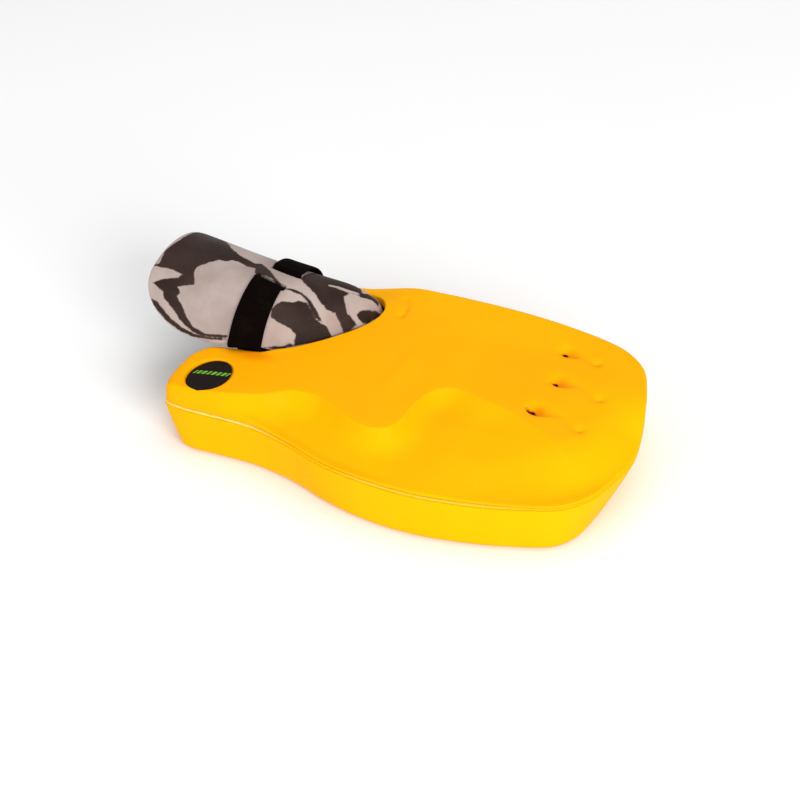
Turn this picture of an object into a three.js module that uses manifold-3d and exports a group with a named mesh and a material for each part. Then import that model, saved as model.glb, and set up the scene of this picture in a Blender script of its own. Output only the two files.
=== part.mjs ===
// A goalkeeper's hand pad for field hockey: a moulded foam block that a hand slides into, with a
// marbled foam cuff over the wrist and a webbing strap that closes round it.
//
// Units are millimetres. +X runs from the wrist to the fingertips, +Y to the far side (the side
// away from the badge lobe), +Z up. The origin is on the flat face that the pad rests on, half way
// along it. The body is 355 long and 228 wide, the largest that a hand pad may be.

import * as THREE from "three";
import { mergeVertices } from "three/addons/utils/BufferGeometryUtils.js";
import Module from "manifold-3d";

const wasm = await Module();
wasm.setup();

// ---------------------------------------------------------------- driving dimensions

const GAP = 0.3; // left between two pieces that touch

const BASE_TOP = 37; // the base block's rim, where the seam is
const SHEET = 1.8; // thickness of the pale bonding sheet in the seam
const SHEET_BOTTOM = BASE_TOP + GAP;
const COVER_BOTTOM = SHEET_BOTTOM + SHEET + GAP;
const RIM_TOP = 41; // the cover's edge along the badge side
const HAND_TOP = 58.5; // the cover's highest ground, over the back of the hand

// Plan of the finger end of the pocket.
const FINGER_ROOM = [
  [-4, -4], [30, -13], [80, -17], [122, -23], [148, -16], [153, 14], [146, 44], [132, 72],
  [104, 85], [74, 85], [-4, 81],
];
const PALM_END = 8;
const PALM_SIDE = -26;
const FAR_SIDE = 81;

const POCKET_FLOOR = 18;
const PALM_ROOF = 50;
const FINGER_ROOF = 44;
const LINER = 1.6;

const BASE_CORNER = 5; // height of the rounded lower edge
const BASE_CORNER_INSET = 3.5;
const REAR_RISE = 16.5; // how far the lobe's lower edge is cut in under its nose
const FRONT_RISE = 15;
const WAIST_INSET = 4;

const OUTLINE_STEPS = 132;

// Body outline at the seam, seen from above: fingertip end, badge side, badge lobe, wrist
// opening, thin far wall, far side.
const OUTLINE = [
  [177.5, -3], [176, -22], [171, -43], [163.5, -64], [148, -82], [121, -94.5], [93, -104],
  [50, -113], [10, -114], [-28, -109.5], [-62, -99], [-95, -92], [-132, -92.5], [-155, -93.5],
  [-170, -90.5], [-176, -78], [-177.5, -58], [-175.5, -40], [-165.5, -26],
  [-145, -22], [-125, -20.5], [-108, -13], [-92, 3], [-78, 21], [-67, 39], [-61, 57],
  [-62.5, 71], [-71, 82], [-85, 86.5], [-101, 86.5], [-114, 86.8],
  [-119, 90.5], [-112, 93.6],
  [-96, 95.5], [-76, 102], [-53, 108], [-24, 112.5], [12, 114], [50, 113.5], [84, 110.5],
  [111.5, 106], [136.5, 97], [154.5, 81], [164, 59], [171, 35],
];

// Foot of the bank between the raised hand shape and the low shelf on the badge side: the line
// half way up the bank, from the wrist end to the fingertip end.
const BANK = [
  [-190, -87], [-160, -88], [-130, -87], [-108, -82], [-91, -74], [-77, -63], [-57, -60],
  [-41, -66], [-22, -75], [-4, -78], [9, -72], [14, -60], [15, -43], [18, -24], [26, -12],
  [37, -8], [57, -12], [81, -16], [103, -25], [133, -42], [150, -59], [185, -95],
];

// Finger fixings: a row of screws, and a row of smaller studs nearer the fingertips.
const SCREWS = [[96, -6], [99, 34], [92, 73]];
const STUDS = [[136, -13], [137, 28], [120, 70]];
const RECESS_R = 8;
const RECESS_FLOOR = 49;
const STUD_RECESS_R = 3.4;
const STUD_RECESS_FLOOR = 50.5;

const HEAD_R = 5.2;
const HEAD_H = 2.4;
const SHANK_R = 2;
const WASHER_R = 7;
const WASHER_T = 1.2;
const NUT_R = 5;
const NUT_H = 1.4;

const BADGE = { x: -145.8, y: -65.2, r: 18.6, t: 1.6, sink: 2.5, tilt: 0.1 };
const GRID = 6; // spacing of the cover's surface points
const EDGE_RADIUS = 4;
const COVER_INSET = 1.3; // the base's rim stands this far proud of the cover

const BAND_T = 1.6;
const BAND_STEPS = 8;

// Cuff: centre line and size of the arched sheet from its tongue in the pocket to its tail.
// crest = top centre point, r = radius of the arch, half = half the sheet's width round the arch.
const CUFF_T = 4;
const CUFF_LINER_T = 1.6;
const LINER_GAP = 0.6;
const CUFF_STATIONS = [
  { x: -42, y: 60, z: 44.5, r: 90, half: 17 },
  { x: -53, y: 60, z: 44.8, r: 60, half: 16 },
  { x: -62, y: 59.5, z: 50, r: 32, half: 15 },
  { x: -71, y: 57.5, z: 66, r: 27, half: 25 },
  { x: -88, y: 47.5, z: 78.3, r: 38, half: 49 },
  { x: -110, y: 35.5, z: 86.5, r: 48, half: 62 },
  { x: -134, y: 24.5, z: 94.3, r: 55.7, half: 64.5 },
  { x: -160, y: 25.4, z: 95.2, r: 60.9, half: 72 },
  { x: -186, y: 26.3, z: 96.1, r: 66, half: 73 },
  { x: -206, y: 27, z: 96.8, r: 70, half: 67 },
  { x: -220, y: 27.4, z: 97.3, r: 72.7, half: 57 },
  { x: -228, y: 27.7, z: 97.6, r: 74.3, half: 45 },
  { x: -231, y: 27.8, z: 97.7, r: 75, half: 33 },
];
const CUFF_ROWS = 36;
const CUFF_COLUMNS = 18;

const STRAP_W = 25;
const STRAP_T = 2;
const STRAP_X = -136;
const SLOT_ARC = 9.5; // each slot's distance from the strap's middle, round the arch
const STRAP_MIDDLE = -2.3; // the strap's middle, from the crest, round the arch
const STRAP_SKEW = 0.25; // the slots lie askew: this much round the arch per unit along X
const FAR_SHIFT = 4.5; // the far slot and the ring lie this much further forward than the near slot
const RING_X = STRAP_X + FAR_SHIFT;
const FAR_BULGE = 2.8; // the strap stands this far off the cuff's far flank
const SLOT_CLEAR = 1.4;
const KEEPER_T = 1.6;
const KEEPER_LEG = 10;

const YELLOW = 0xffb800;
const BLACK = 0x14100f;
const MARBLE = 0x8d8280;

// ---------------------------------------------------------------- solids

function solidOf(geometry) {
  const bare = (geometry.index ? geometry.toNonIndexed() : geometry.clone());
  bare.deleteAttribute("normal");
  bare.deleteAttribute("uv");
  const merged = mergeVertices(bare, 1e-3);
  return new wasm.Manifold(
    new wasm.Mesh({
      numProp: 3,
      vertProperties: merged.attributes.position.array,
      triVerts: new Uint32Array(merged.index.array),
    }),
  );
}

function geometryOf(solid) {
  const { vertProperties, triVerts } = solid.getMesh();
  const geometry = new THREE.BufferGeometry();
  geometry.setAttribute("position", new THREE.BufferAttribute(vertProperties, 3));
  geometry.setIndex(new THREE.BufferAttribute(triVerts, 1));
  geometry.computeVertexNormals();
  return geometry;
}

function cut(geometry, ...tools) {
  return geometryOf(tools.reduce((left, tool) => left.subtract(solidOf(tool)), solidOf(geometry)));
}

function join(geometry, ...others) {
  return geometryOf(others.reduce((left, other) => left.add(solidOf(other)), solidOf(geometry)));
}

function common(geometry, other) {
  return geometryOf(solidOf(geometry).intersect(solidOf(other)));
}

function enclosedVolume(positions, index) {
  const [a, b, c] = [new THREE.Vector3(), new THREE.Vector3(), new THREE.Vector3()];
  let volume = 0;
  for (let i = 0; i < index.length; i += 3) {
    a.fromArray(positions, 3 * index[i]);
    b.fromArray(positions, 3 * index[i + 1]);
    c.fromArray(positions, 3 * index[i + 2]);
    volume += a.dot(b.cross(c)) / 6;
  }
  return volume;
}

// Skins a list of closed rings with the same number of points, caps both ends and faces outwards.
function loft(rings, capShape) {
  const count = rings[0].length;
  const positions = rings.flat().flatMap((p) => [p.x, p.y, p.z]);
  const index = [];
  for (let k = 0; k + 1 < rings.length; k++) {
    for (let i = 0; i < count; i++) {
      const a = k * count + i;
      const b = k * count + ((i + 1) % count);
      index.push(a, b, b + count, a, b + count, a + count);
    }
  }
  const last = (rings.length - 1) * count;
  for (const [a, b, c] of capShape ?? fan(count)) {
    index.push(last + a, last + b, last + c);
    index.push(a, c, b);
  }
  if (enclosedVolume(positions, index) < 0) index.reverse();
  const geometry = new THREE.BufferGeometry();
  geometry.setAttribute("position", new THREE.Float32BufferAttribute(positions, 3));
  geometry.setIndex(index);
  return geometry;
}

// Cap triangles for a strip-like ring whose second half runs back beside its first half.
function strip(count) {
  const faces = [];
  for (let i = 0, j = count - 1; i + 1 < j; i++, j--) {
    faces.push([i, i + 1, j]);
    if (i + 1 < j - 1) faces.push([i + 1, j - 1, j]);
  }
  return faces;
}

function fan(count) {
  return Array.from({ length: count - 2 }, (_, i) => [0, i + 1, i + 2]);
}

// A closed smooth curve through plan points, as evenly spaced Vector2s running anticlockwise.
function closedCurve(points, steps) {
  const curve = new THREE.CatmullRomCurve3(
    points.map(([x, y]) => new THREE.Vector3(x, y, 0)), true, "centripetal",
  );
  const ring = curve.getSpacedPoints(steps).slice(0, steps).map((p) => new THREE.Vector2(p.x, p.y));
  return THREE.ShapeUtils.isClockWise(ring) ? ring.reverse() : ring;
}

// Moves each point of an anticlockwise ring inwards by inset(point).
function insetRing(ring, inset) {
  return ring.map((p, i) => {
    const before = ring[(i + ring.length - 1) % ring.length];
    const after = ring[(i + 1) % ring.length];
    const inward = new THREE.Vector2(before.y - after.y, after.x - before.x).normalize();
    return p.clone().addScaledVector(inward, inset(p));
  });
}

function raise(ring, height) {
  return ring.map((p) => new THREE.Vector3(p.x, p.y, height(p)));
}

function slab(ring, low, high) {
  const geometry = new THREE.ExtrudeGeometry(new THREE.Shape(ring), {
    depth: high - low, bevelEnabled: false,
  });
  return geometry.translate(0, 0, low);
}

function roundedBox(x0, x1, y0, y1, low, high, corner) {
  const shape = new THREE.Shape();
  shape.moveTo(x0 + corner, y0);
  shape.lineTo(x1 - corner, y0);
  shape.absarc(x1 - corner, y0 + corner, corner, -Math.PI / 2, 0);
  shape.absarc(x1 - corner, y1 - corner, corner, 0, Math.PI / 2);
  shape.absarc(x0 + corner, y1 - corner, corner, Math.PI / 2, Math.PI);
  shape.absarc(x0 + corner, y0 + corner, corner, Math.PI, 1.5 * Math.PI);
  const geometry = new THREE.ExtrudeGeometry(shape, {
    depth: high - low, bevelEnabled: false, curveSegments: 5,
  });
  return geometry.translate(0, 0, low);
}

function upright(radius, low, high, x, y, sides = 20) {
  const geometry = new THREE.CylinderGeometry(radius, radius, high - low, sides);
  return geometry.rotateX(Math.PI / 2).translate(x, y, (low + high) / 2);
}

function piece(name, geometry, colour, roughness = 0.8, metalness = 0) {
  const mesh = new THREE.Mesh(
    geometry, new THREE.MeshStandardMaterial({ color: colour, roughness, metalness }),
  );
  mesh.name = name;
  return mesh;
}

// ---------------------------------------------------------------- foam body

const outline = closedCurve(OUTLINE, OUTLINE_STEPS);
const outlineCap = THREE.ShapeUtils.triangulateShape(outline, []);

// The wrist opening has a sharp upper edge, and the thin far wall allows only a small inset.
function insetLimit(p) {
  if (p.x > -58 || p.y < -27 || p.x < -163) return 100;
  return p.y > 88 ? 2.6 : 0.8;
}

function insetBy(amount) {
  return insetRing(outline, (p) => Math.min(amount(p), insetLimit(p)));
}

function nose(p, share) {
  const rear = Math.max(0, (-118 - p.x) / 60);
  const front = Math.max(0, (p.x - 120) / 58);
  p.x += share * (REAR_RISE * rear ** 1.5 - FRONT_RISE * front ** 3);
  return p;
}

function waist(p) {
  return WAIST_INSET * Math.exp(-(((p.x + 45) / 42) ** 2));
}

const bank = BANK.map(([x, y]) => new THREE.Vector2(x, y));
const smooth = (x, from, to) => THREE.MathUtils.smoothstep(x, from, to);

// Nearest point of a run of plan points to p: its distance, its place, and the side p is on.
function nearest(p, line, closed) {
  let best = { distance: Infinity };
  const ends = closed ? line.length : line.length - 1;
  for (let i = 0; i < ends; i++) {
    const a = line[i];
    const run = line[(i + 1) % line.length].clone().sub(a);
    const f = THREE.MathUtils.clamp(p.clone().sub(a).dot(run) / run.lengthSq(), 0, 1);
    const foot = a.clone().addScaledVector(run, f);
    const distance = foot.distanceTo(p);
    if (distance < best.distance) {
      best = { distance, foot, side: Math.sign(run.cross(p.clone().sub(foot))) };
    }
  }
  return best;
}

// How far down a place is towards the low corner by the fingertips on the badge side: 0 to 1.
function lowCorner(x, y) {
  const out = Math.hypot((x - 60) / 118, (y - 10) / 113);
  return smooth(out, 0.66, 1.04) * smooth(x, 50, 100) * smooth(-y, -50, -5);
}

// How far a place is up the bank: 0 on the low shelf, 1 on the raised hand shape.
function upBank(x, y) {
  const across = nearest(new THREE.Vector2(x, y), bank, false);
  const run = 8 - 2.5 * smooth(-x, 85, 110) + 9 * smooth(x, 20, 120);
  const below = Math.max(0, (1.6 - across.side * across.distance) / run);
  return Math.exp(-(below ** 1.2)) * (1 - lowCorner(x, y));
}

// Height of the cover's surface, but for its rounded edge.
function coverHeight(x, y) {
  const farWall = smooth(-x, 40, 88) * smooth(y, 72, 96);
  const hand = HAND_TOP - 5 * smooth(-x, 105, 175) - 1.5 * smooth(x, 80, 190) - 5.5 * farWall;
  const inland = THREE.MathUtils.clamp((y + 114) / 75, 0, 1) ** 0.8 * (1 - lowCorner(x, y));
  const shelf = RIM_TOP + (3 + 6.5 * smooth(x, -10, 60)) * inland;
  return THREE.MathUtils.lerp(shelf, hand, upBank(x, y));
}

// The cover's edge is rounded where it stands high, but the wrist opening's is sharp.
function edgeRadius(p) {
  const sharp = insetLimit(p) < 1 ? smooth(p.x, -124, -110) : 0;
  return (EDGE_RADIUS + 2.5 * smooth(-p.x, 60, 110)) * (1 - sharp) * upBank(p.x, p.y);
}

function coverEdge() {
  const ring = (share, drop) => {
    const inset = (p) => COVER_INSET + share * edgeRadius(p);
    const height = (p) => Math.max(COVER_BOTTOM + 0.3, coverHeight(p.x, p.y) - drop * edgeRadius(p));
    const plan = insetRing(outline, inset);
    return plan.map((p, i) => new THREE.Vector3(p.x, p.y, height(outline[i])));
  };
  const rings = [
    raise(insetRing(outline, () => COVER_INSET), () => COVER_BOTTOM),
    ring(0, 1), ring(0.13, 0.5), ring(0.4, 0.2), ring(1, 0),
  ];
  const top = insetRing(outline, (p) => COVER_INSET + edgeRadius(p));
  return loft([...rings, raise(top, () => HAND_TOP + 20)], outlineCap);
}

// A block whose upper face follows coverHeight.
function coverGround() {
  const xs = Array.from({ length: Math.round(366 / GRID) + 1 }, (_, i) => -183 + GRID * i);
  const ys = Array.from({ length: Math.round(240 / GRID) + 1 }, (_, i) => -120 + GRID * i);
  const columns = ys.length;
  const positions = xs.flatMap((x) => ys.flatMap((y) => [x, y, coverHeight(x, y)]));
  const below = xs.length * columns;
  positions.push(...xs.flatMap((x) => ys.flatMap((y) => [x, y, BASE_TOP - 5])));
  const index = [];
  const quad = (a, b, c, d) => index.push(a, b, c, a, c, d);
  const level = (a, b) => (positions[3 * a + 2] + positions[3 * b + 2]) / 2;
  for (let i = 0; i + 1 < xs.length; i++) {
    for (let j = 0; j + 1 < columns; j++) {
      const a = i * columns + j;
      const b = a + columns;
      // The fold across each square runs the way that keeps closer to the true height.
      const middle = coverHeight(xs[i] + GRID / 2, ys[j] + GRID / 2);
      const straight = Math.abs(level(a, b + 1) - middle) <= Math.abs(level(b, a + 1) - middle);
      if (straight) quad(a, b, b + 1, a + 1);
      else quad(b, b + 1, a + 1, a);
      quad(below + a, below + a + 1, below + b + 1, below + b);
    }
    const near = i * columns;
    const far = near + columns - 1;
    quad(near, below + near, below + near + columns, near + columns);
    quad(far, far + columns, below + far + columns, below + far);
  }
  for (let j = 0; j + 1 < columns; j++) {
    const last = (xs.length - 1) * columns + j;
    quad(j, j + 1, below + j + 1, below + j);
    quad(last, below + last, below + last + 1, last + 1);
  }
  const geometry = new THREE.BufferGeometry();
  geometry.setAttribute("position", new THREE.Float32BufferAttribute(positions, 3));
  geometry.setIndex(index);
  return geometry;
}

// The hand pocket: palm, fingers and thumb. grow makes room for the pieces that line it.
function pocket(low, palmRoof, fingerRoof, grow = 0) {
  const palm = roundedBox(-130, PALM_END, PALM_SIDE - grow, FAR_SIDE + grow, low, palmRoof, 9);
  const fingers = slab(insetRing(closedCurve(FINGER_ROOM, 44), () => -grow), low, fingerRoof);
  const thumb = roundedBox(-30, 30, -12, 12, low, palmRoof, 11)
    .rotateZ(THREE.MathUtils.degToRad(-34)).translate(-26, -40, 0);
  return join(palm, fingers, thumb);
}

function baseBlock() {
  const corner = insetBy((p) => BASE_CORNER_INSET + waist(p)).map((p) => nose(p, 1));
  const low = insetBy((p) => 0.85 * waist(p)).map((p) => nose(p, 0.82));
  const rings = [
    raise(corner, () => 0), raise(low, () => BASE_CORNER),
    raise(insetBy((p) => 0.3 * waist(p)).map((p) => nose(p, 0.4)), () => 0.55 * BASE_TOP),
    raise(outline, () => BASE_TOP),
  ];
  return cut(loft(rings, outlineCap), pocket(POCKET_FLOOR, BASE_TOP + 9, BASE_TOP + 9));
}

function bondSheet() {
  const edge = insetBy(() => 0.6);
  return cut(slab(edge, SHEET_BOTTOM, SHEET_BOTTOM + SHEET), pocket(0, 80, 80, 0.4));
}

function fixingHoles(low, high) {
  return [...SCREWS, ...STUDS].map(([x, y]) => upright(SHANK_R + 0.4, low, high, x, y, 14));
}

function badgeFrame() {
  const step = 10;
  const { x, y } = BADGE;
  const alongX = coverHeight(x + step, y) - coverHeight(x - step, y);
  const alongY = coverHeight(x, y + step) - coverHeight(x, y - step);
  const rise = [alongX / (2 * step) + BADGE.tilt, alongY / (2 * step)];
  const normal = new THREE.Vector3(-rise[0], -rise[1], 1).normalize();
  const turn = new THREE.Quaternion().setFromUnitVectors(new THREE.Vector3(0, 0, 1), normal);
  return new THREE.Matrix4().makeRotationFromQuaternion(turn).setPosition(x, y, coverHeight(x, y));
}

function topCover() {
  const body = common(coverEdge(), coverGround());
  const badgeSeat = upright(BADGE.r + 0.6, -BADGE.sink - GAP, 20, 0, 0, 36).applyMatrix4(badgeFrame());
  const recesses = [
    ...SCREWS.map(([x, y]) => upright(RECESS_R, RECESS_FLOOR, 70, x, y)),
    ...STUDS.map(([x, y]) => upright(STUD_RECESS_R, STUD_RECESS_FLOOR, 70, x, y)),
  ];
  const room = pocket(20, PALM_ROOF, FINGER_ROOF);
  return cut(body, room, badgeSeat, ...recesses, ...fixingHoles(30, 70));
}

function badge() {
  const disc = new THREE.CylinderGeometry(BADGE.r, BADGE.r, BADGE.t, 40).rotateX(Math.PI / 2);
  return disc.translate(0, 0, BADGE.t / 2 - BADGE.sink).applyMatrix4(badgeFrame());
}

// ---------------------------------------------------------------- pocket liners and finger bands

function floorLiner() {
  const shape = pocket(POCKET_FLOOR + GAP, POCKET_FLOOR + GAP + LINER, POCKET_FLOOR + GAP + LINER, -1);
  const sheet = roundedBox(-58, 146, -80, 80, 0, 60, 20);
  return common(shape, sheet);
}

// One ply under the palm roof and one under the finger roof.
function palmLiner() {
  const high = PALM_ROOF - GAP;
  return roundedBox(-36, PALM_END - 12, PALM_SIDE + 2, FAR_SIDE - 2, high - LINER, high, 8);
}

function fingerLiner() {
  const high = FINGER_ROOF - GAP;
  const room = slab(insetRing(closedCurve(FINGER_ROOM, 40), () => 2), high - LINER, high);
  return cut(common(room, roundedBox(75, 160, -60, 100, 0, 80, 2)), ...fixingHoles(30, 60));
}

// An elastic band that is pinned at three points and hangs in a loop between them.
function fingerBand(pins, width, sag) {
  const top = FINGER_ROOF - 2 * GAP - LINER;
  const flat = NUT_R + 0.2;
  const path = [];
  pins.forEach(([x, y], i) => {
    path.push([x, y - flat, 0], [x, y + flat, 0]);
    if (i + 1 === pins.length) return;
    const [nextX, nextY] = pins[i + 1];
    for (let k = 1; k < BAND_STEPS; k++) {
      const f = k / BAND_STEPS;
      path.push([
        THREE.MathUtils.lerp(x, nextX, f),
        THREE.MathUtils.lerp(y + flat, nextY - flat, f),
        sag * Math.sin(Math.PI * f),
      ]);
    }
  });
  const half = width / 2;
  const band = loft(path.map(([x, y, drop]) => [
    new THREE.Vector3(x - half, y, top - drop - BAND_T),
    new THREE.Vector3(x + half, y, top - drop - BAND_T),
    new THREE.Vector3(x + half, y, top - drop),
    new THREE.Vector3(x - half, y, top - drop),
  ]));
  return cut(band, ...fixingHoles(20, 60));
}

const BAND_UNDER = FINGER_ROOF - 3 * GAP - LINER - BAND_T;

// A flanged nut below the band.
function nut([x, y]) {
  return cut(
    upright(NUT_R, BAND_UNDER - NUT_H, BAND_UNDER, x, y, 6),
    upright(SHANK_R + 0.25, BAND_UNDER - 5, BAND_UNDER + 5, x, y, 14),
  );
}

function washer([x, y]) {
  const low = RECESS_FLOOR + GAP;
  return cut(
    upright(WASHER_R, low, low + WASHER_T, x, y, 24),
    upright(SHANK_R + 0.25, low - 5, low + 5, x, y, 14),
  );
}

// A pan-head screw from above, with a cross drive.
function screw([x, y]) {
  const low = RECESS_FLOOR + 2 * GAP + WASHER_T;
  const head = upright(HEAD_R, low, low + HEAD_H, x, y, 20);
  const shank = upright(SHANK_R, BAND_UNDER - NUT_H - 0.6, low + 0.4, x, y, 14);
  const drive = roundedBox(-2.6, 2.6, -0.6, 0.6, low + 1, low + 9, 0.3);
  const turned = drive.clone().rotateZ(Math.PI / 2);
  return cut(join(head, shank), drive.translate(x, y, 0), turned.translate(x, y, 0));
}

// A plain rivet-headed stud.
function stud([x, y]) {
  const low = STUD_RECESS_FLOOR + GAP;
  const head = upright(STUD_RECESS_R - 0.6, low, low + 1.2, x, y, 16);
  return join(head, upright(SHANK_R, BAND_UNDER - NUT_H - 0.6, low + 0.4, x, y, 14));
}

// ---------------------------------------------------------------- cuff

// Smoothly interpolates the cuff stations; t runs from 0 at the tongue to 1 at the tail.
function cuffSection(t) {
  const place = t * (CUFF_STATIONS.length - 1);
  const k = Math.min(Math.floor(place), CUFF_STATIONS.length - 2);
  const f = place - k;
  const at = (i) => CUFF_STATIONS[THREE.MathUtils.clamp(i, 0, CUFF_STATIONS.length - 1)];
  const mix = (key) => {
    const [a, b, c, d] = [at(k - 1)[key], at(k)[key], at(k + 1)[key], at(k + 2)[key]];
    return b + 0.5 * f * (c - a + f * (2 * a - 5 * b + 4 * c - d + f * (3 * (b - c) + d - a)));
  };
  return { x: mix("x"), y: mix("y"), z: mix("z"), r: mix("r"), half: mix("half") };
}

function cuffSectionAtX(x) {
  let low = 0;
  let high = 1;
  for (let k = 0; k < 30; k++) {
    const middle = (low + high) / 2;
    if (cuffSection(middle).x > x) low = middle;
    else high = middle;
  }
  return cuffSection(low);
}

// A point of the arch: arc runs round it from the crest, positive towards the badge side.
function onArch(section, arc, depth) {
  const angle = arc / section.r;
  const radius = section.r - depth;
  return new THREE.Vector3(
    section.x,
    section.y - radius * Math.sin(angle),
    section.z - section.r + radius * Math.cos(angle),
  );
}

function archSheet(outer, inner, trim, from, to) {
  const rings = [];
  for (let k = 0; k <= CUFF_ROWS; k++) {
    const section = cuffSection(THREE.MathUtils.lerp(from, to, k / CUFF_ROWS));
    const half = section.half - trim;
    const arcs = Array.from({ length: CUFF_COLUMNS + 1 }, (_, i) => half * ((2 * i) / CUFF_COLUMNS - 1));
    rings.push([
      ...arcs.map((arc) => onArch(section, arc, outer)),
      ...arcs.reverse().map((arc) => onArch(section, arc, inner)),
    ]);
  }
  return loft(rings, strip(rings[0].length));
}

function slotX(side) {
  return side < 0 ? RING_X : STRAP_X;
}

function slotArc(side, x) {
  return STRAP_MIDDLE + side * SLOT_ARC + STRAP_SKEW * (x - slotX(side));
}

// A block that cuts a strap slot through the cuff, square to the arch.
function slotTool(side) {
  const x = slotX(side);
  const section = cuffSectionAtX(x);
  const angle = slotArc(side, x) / section.r;
  const tool = new THREE.BoxGeometry(STRAP_W + 2 * SLOT_CLEAR, STRAP_T + 2 * SLOT_CLEAR + 5.2, 30);
  const before = onArch(cuffSectionAtX(x - 10), slotArc(side, x - 10), 0);
  const after = onArch(cuffSectionAtX(x + 10), slotArc(side, x + 10), 0);
  const along = after.clone().sub(before).normalize();
  const outwards = new THREE.Vector3(0, -Math.sin(angle), Math.cos(angle));
  const across = outwards.clone().cross(along).normalize();
  const frame = new THREE.Matrix4().makeBasis(along, across, along.clone().cross(across));
  return tool.applyMatrix4(frame.setPosition(onArch(section, slotArc(side, x), 0)));
}

function cuff() {
  return cut(archSheet(0, CUFF_T, 0, 0, 1), slotTool(1), slotTool(-1));
}

function cuffLiner() {
  const inner = CUFF_T + LINER_GAP;
  return cut(archSheet(inner, inner + CUFF_LINER_T, 6, 0.3, 0.975), slotTool(1), slotTool(-1));
}

// ---------------------------------------------------------------- strap

// The rectangular ring under the far side of the wrist: centres of its two bars, as [y, z].
const RING_BAR = 1.5;
const OUTER_BAR = [73, 29];
const INNER_BAR = [61, 26];
const RING_HALF = 16; // from its middle to the centre of a short side
const SLACK = 1.2; // between a bar and the webbing round it
const PATCH_T = 1;
const TAIL_LENGTH = 46;
const FOLD = SLACK + RING_BAR + STRAP_T / 2; // radius of the strap's fold round the inner bar
const HINGE_GAP = 0.5;

// Skins a ribbon of constant thickness. pathAt(x) gives its centre line, as [y, z, shift along X].
function ribbon(pathAt, x0, x1, thickness, columns = 3) {
  const xs = Array.from({ length: columns + 1 }, (_, i) => THREE.MathUtils.lerp(x0, x1, i / columns));
  const sides = xs.map((x) => {
    const path = pathAt(x).map(([y, z]) => new THREE.Vector2(y, z));
    const shift = (sign) => path.map((p, i) => {
      const a = path[Math.max(0, i - 1)];
      const b = path[Math.min(path.length - 1, i + 1)];
      const normal = new THREE.Vector2(a.y - b.y, b.x - a.x).normalize();
      return p.clone().addScaledVector(normal, (sign * thickness) / 2);
    });
    return { xs: pathAt(x).map((p) => x + (p[2] ?? 0)), left: shift(1), right: shift(-1) };
  });
  const rings = sides[0].left.map((_, i) => [
    ...sides.map((s) => new THREE.Vector3(s.xs[i], s.left[i].x, s.left[i].y)),
    ...[...sides].reverse().map((s) => new THREE.Vector3(s.xs[i], s.right[i].x, s.right[i].y)),
  ]);
  return loft(rings, strip(rings[0].length));
}

// Direction in which the strap leaves the outer bar, as [y, z].
const AWAY = new THREE.Vector2(6.5, 17).normalize();

function fromOuterBar(along, across) {
  return [
    OUTER_BAR[0] + along * AWAY.x + across * AWAY.y,
    OUTER_BAR[1] + along * AWAY.y - across * AWAY.x,
  ];
}

function arcPath(centre, radius, from, to, steps) {
  return Array.from({ length: steps + 1 }, (_, k) => {
    const angle = THREE.MathUtils.degToRad(THREE.MathUtils.lerp(from, to, k / steps));
    return [centre[0] + radius * Math.cos(angle), centre[1] + radius * Math.sin(angle)];
  });
}

// The strap's centre line in a plane across the cuff: from the ring, up the far flank, through
// the far slot, under the crest, out of the near slot, down the near flank, under the wrist and
// round the ring's inner bar.
function strapPath(x) {
  const out = -(STRAP_T / 2 + 0.7);
  const under = CUFF_T + LINER_GAP + CUFF_LINER_T + STRAP_T / 2 + 0.9;
  const at = (arc, depth) => {
    const shift = FAR_SHIFT * THREE.MathUtils.clamp((STRAP_MIDDLE + SLOT_ARC - arc) / (2 * SLOT_ARC), 0, 1);
    const p = onArch(cuffSectionAtX(x + shift), arc, depth);
    return [p.y, p.z, shift];
  };
  const flank = (side) => Array.from({ length: 10 }, (_, k) => {
    const edge = side * (cuffSectionAtX(slotX(side) + x - STRAP_X).half + 0.6);
    const bulge = side < 0 ? FAR_BULGE * Math.sin((Math.PI * k) / 9) : 0;
    return at(THREE.MathUtils.lerp(slotArcFor(side, x) + side * 5, edge, k / 9), out - bulge);
  });
  const through = (side) => [[2.6, out], [0.8, 0.8], [-0.8, under - 1.6], [-3, under]].map(
    ([beyond, depth]) => at(slotArcFor(side, x) + side * beyond, depth),
  );
  const nearHalf = cuffSectionAtX(x).half;
  const roundEdge = [[2.1, 2.4], [2.4, 4.8], [2, 9]].map(([beyond, depth]) => at(nearHalf + beyond, depth));
  const below = ([y, z]) => [y, z, FAR_SHIFT * THREE.MathUtils.clamp((y + 8) / 48, 0, 1)];
  const far = ([y, z]) => [y, z, FAR_SHIFT];
  return [
    ...[fromOuterBar(3.4, 0), fromOuterBar(12, 0), [80, 50]].map(far),
    ...flank(-1).reverse(), ...through(-1),
    at(STRAP_MIDDLE, under),
    ...through(1).reverse(), ...flank(1), ...roundEdge,
    ...NEAR_TURN.map(below),
    ...arcPath(INNER_BAR, FOLD, 90, -90, 10).map(far),
    far([INNER_BAR[0] - 2.5, INNER_BAR[1] - FOLD]),
  ];
}

// The slot's place round the arch where the strap's strand x passes through it.
function slotArcFor(side, x) {
  return slotArc(side, slotX(side) + x - STRAP_X);
}

const STRAP_LOW = INNER_BAR[1] + FOLD; // height of the strap's run under the wrist

// Where the strap turns in under the wrist beside the lobe, as [y, z].
const NEAR_TURN = [
  [-15.6, 46], [-15.4, STRAP_LOW + 7], [-13, STRAP_LOW + 1.8],
  [-8, STRAP_LOW], [8, STRAP_LOW], [24, STRAP_LOW], [40, STRAP_LOW],
];

function strap() {
  return ribbon(strapPath, STRAP_X - STRAP_W / 2, STRAP_X + STRAP_W / 2, STRAP_T);
}

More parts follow.
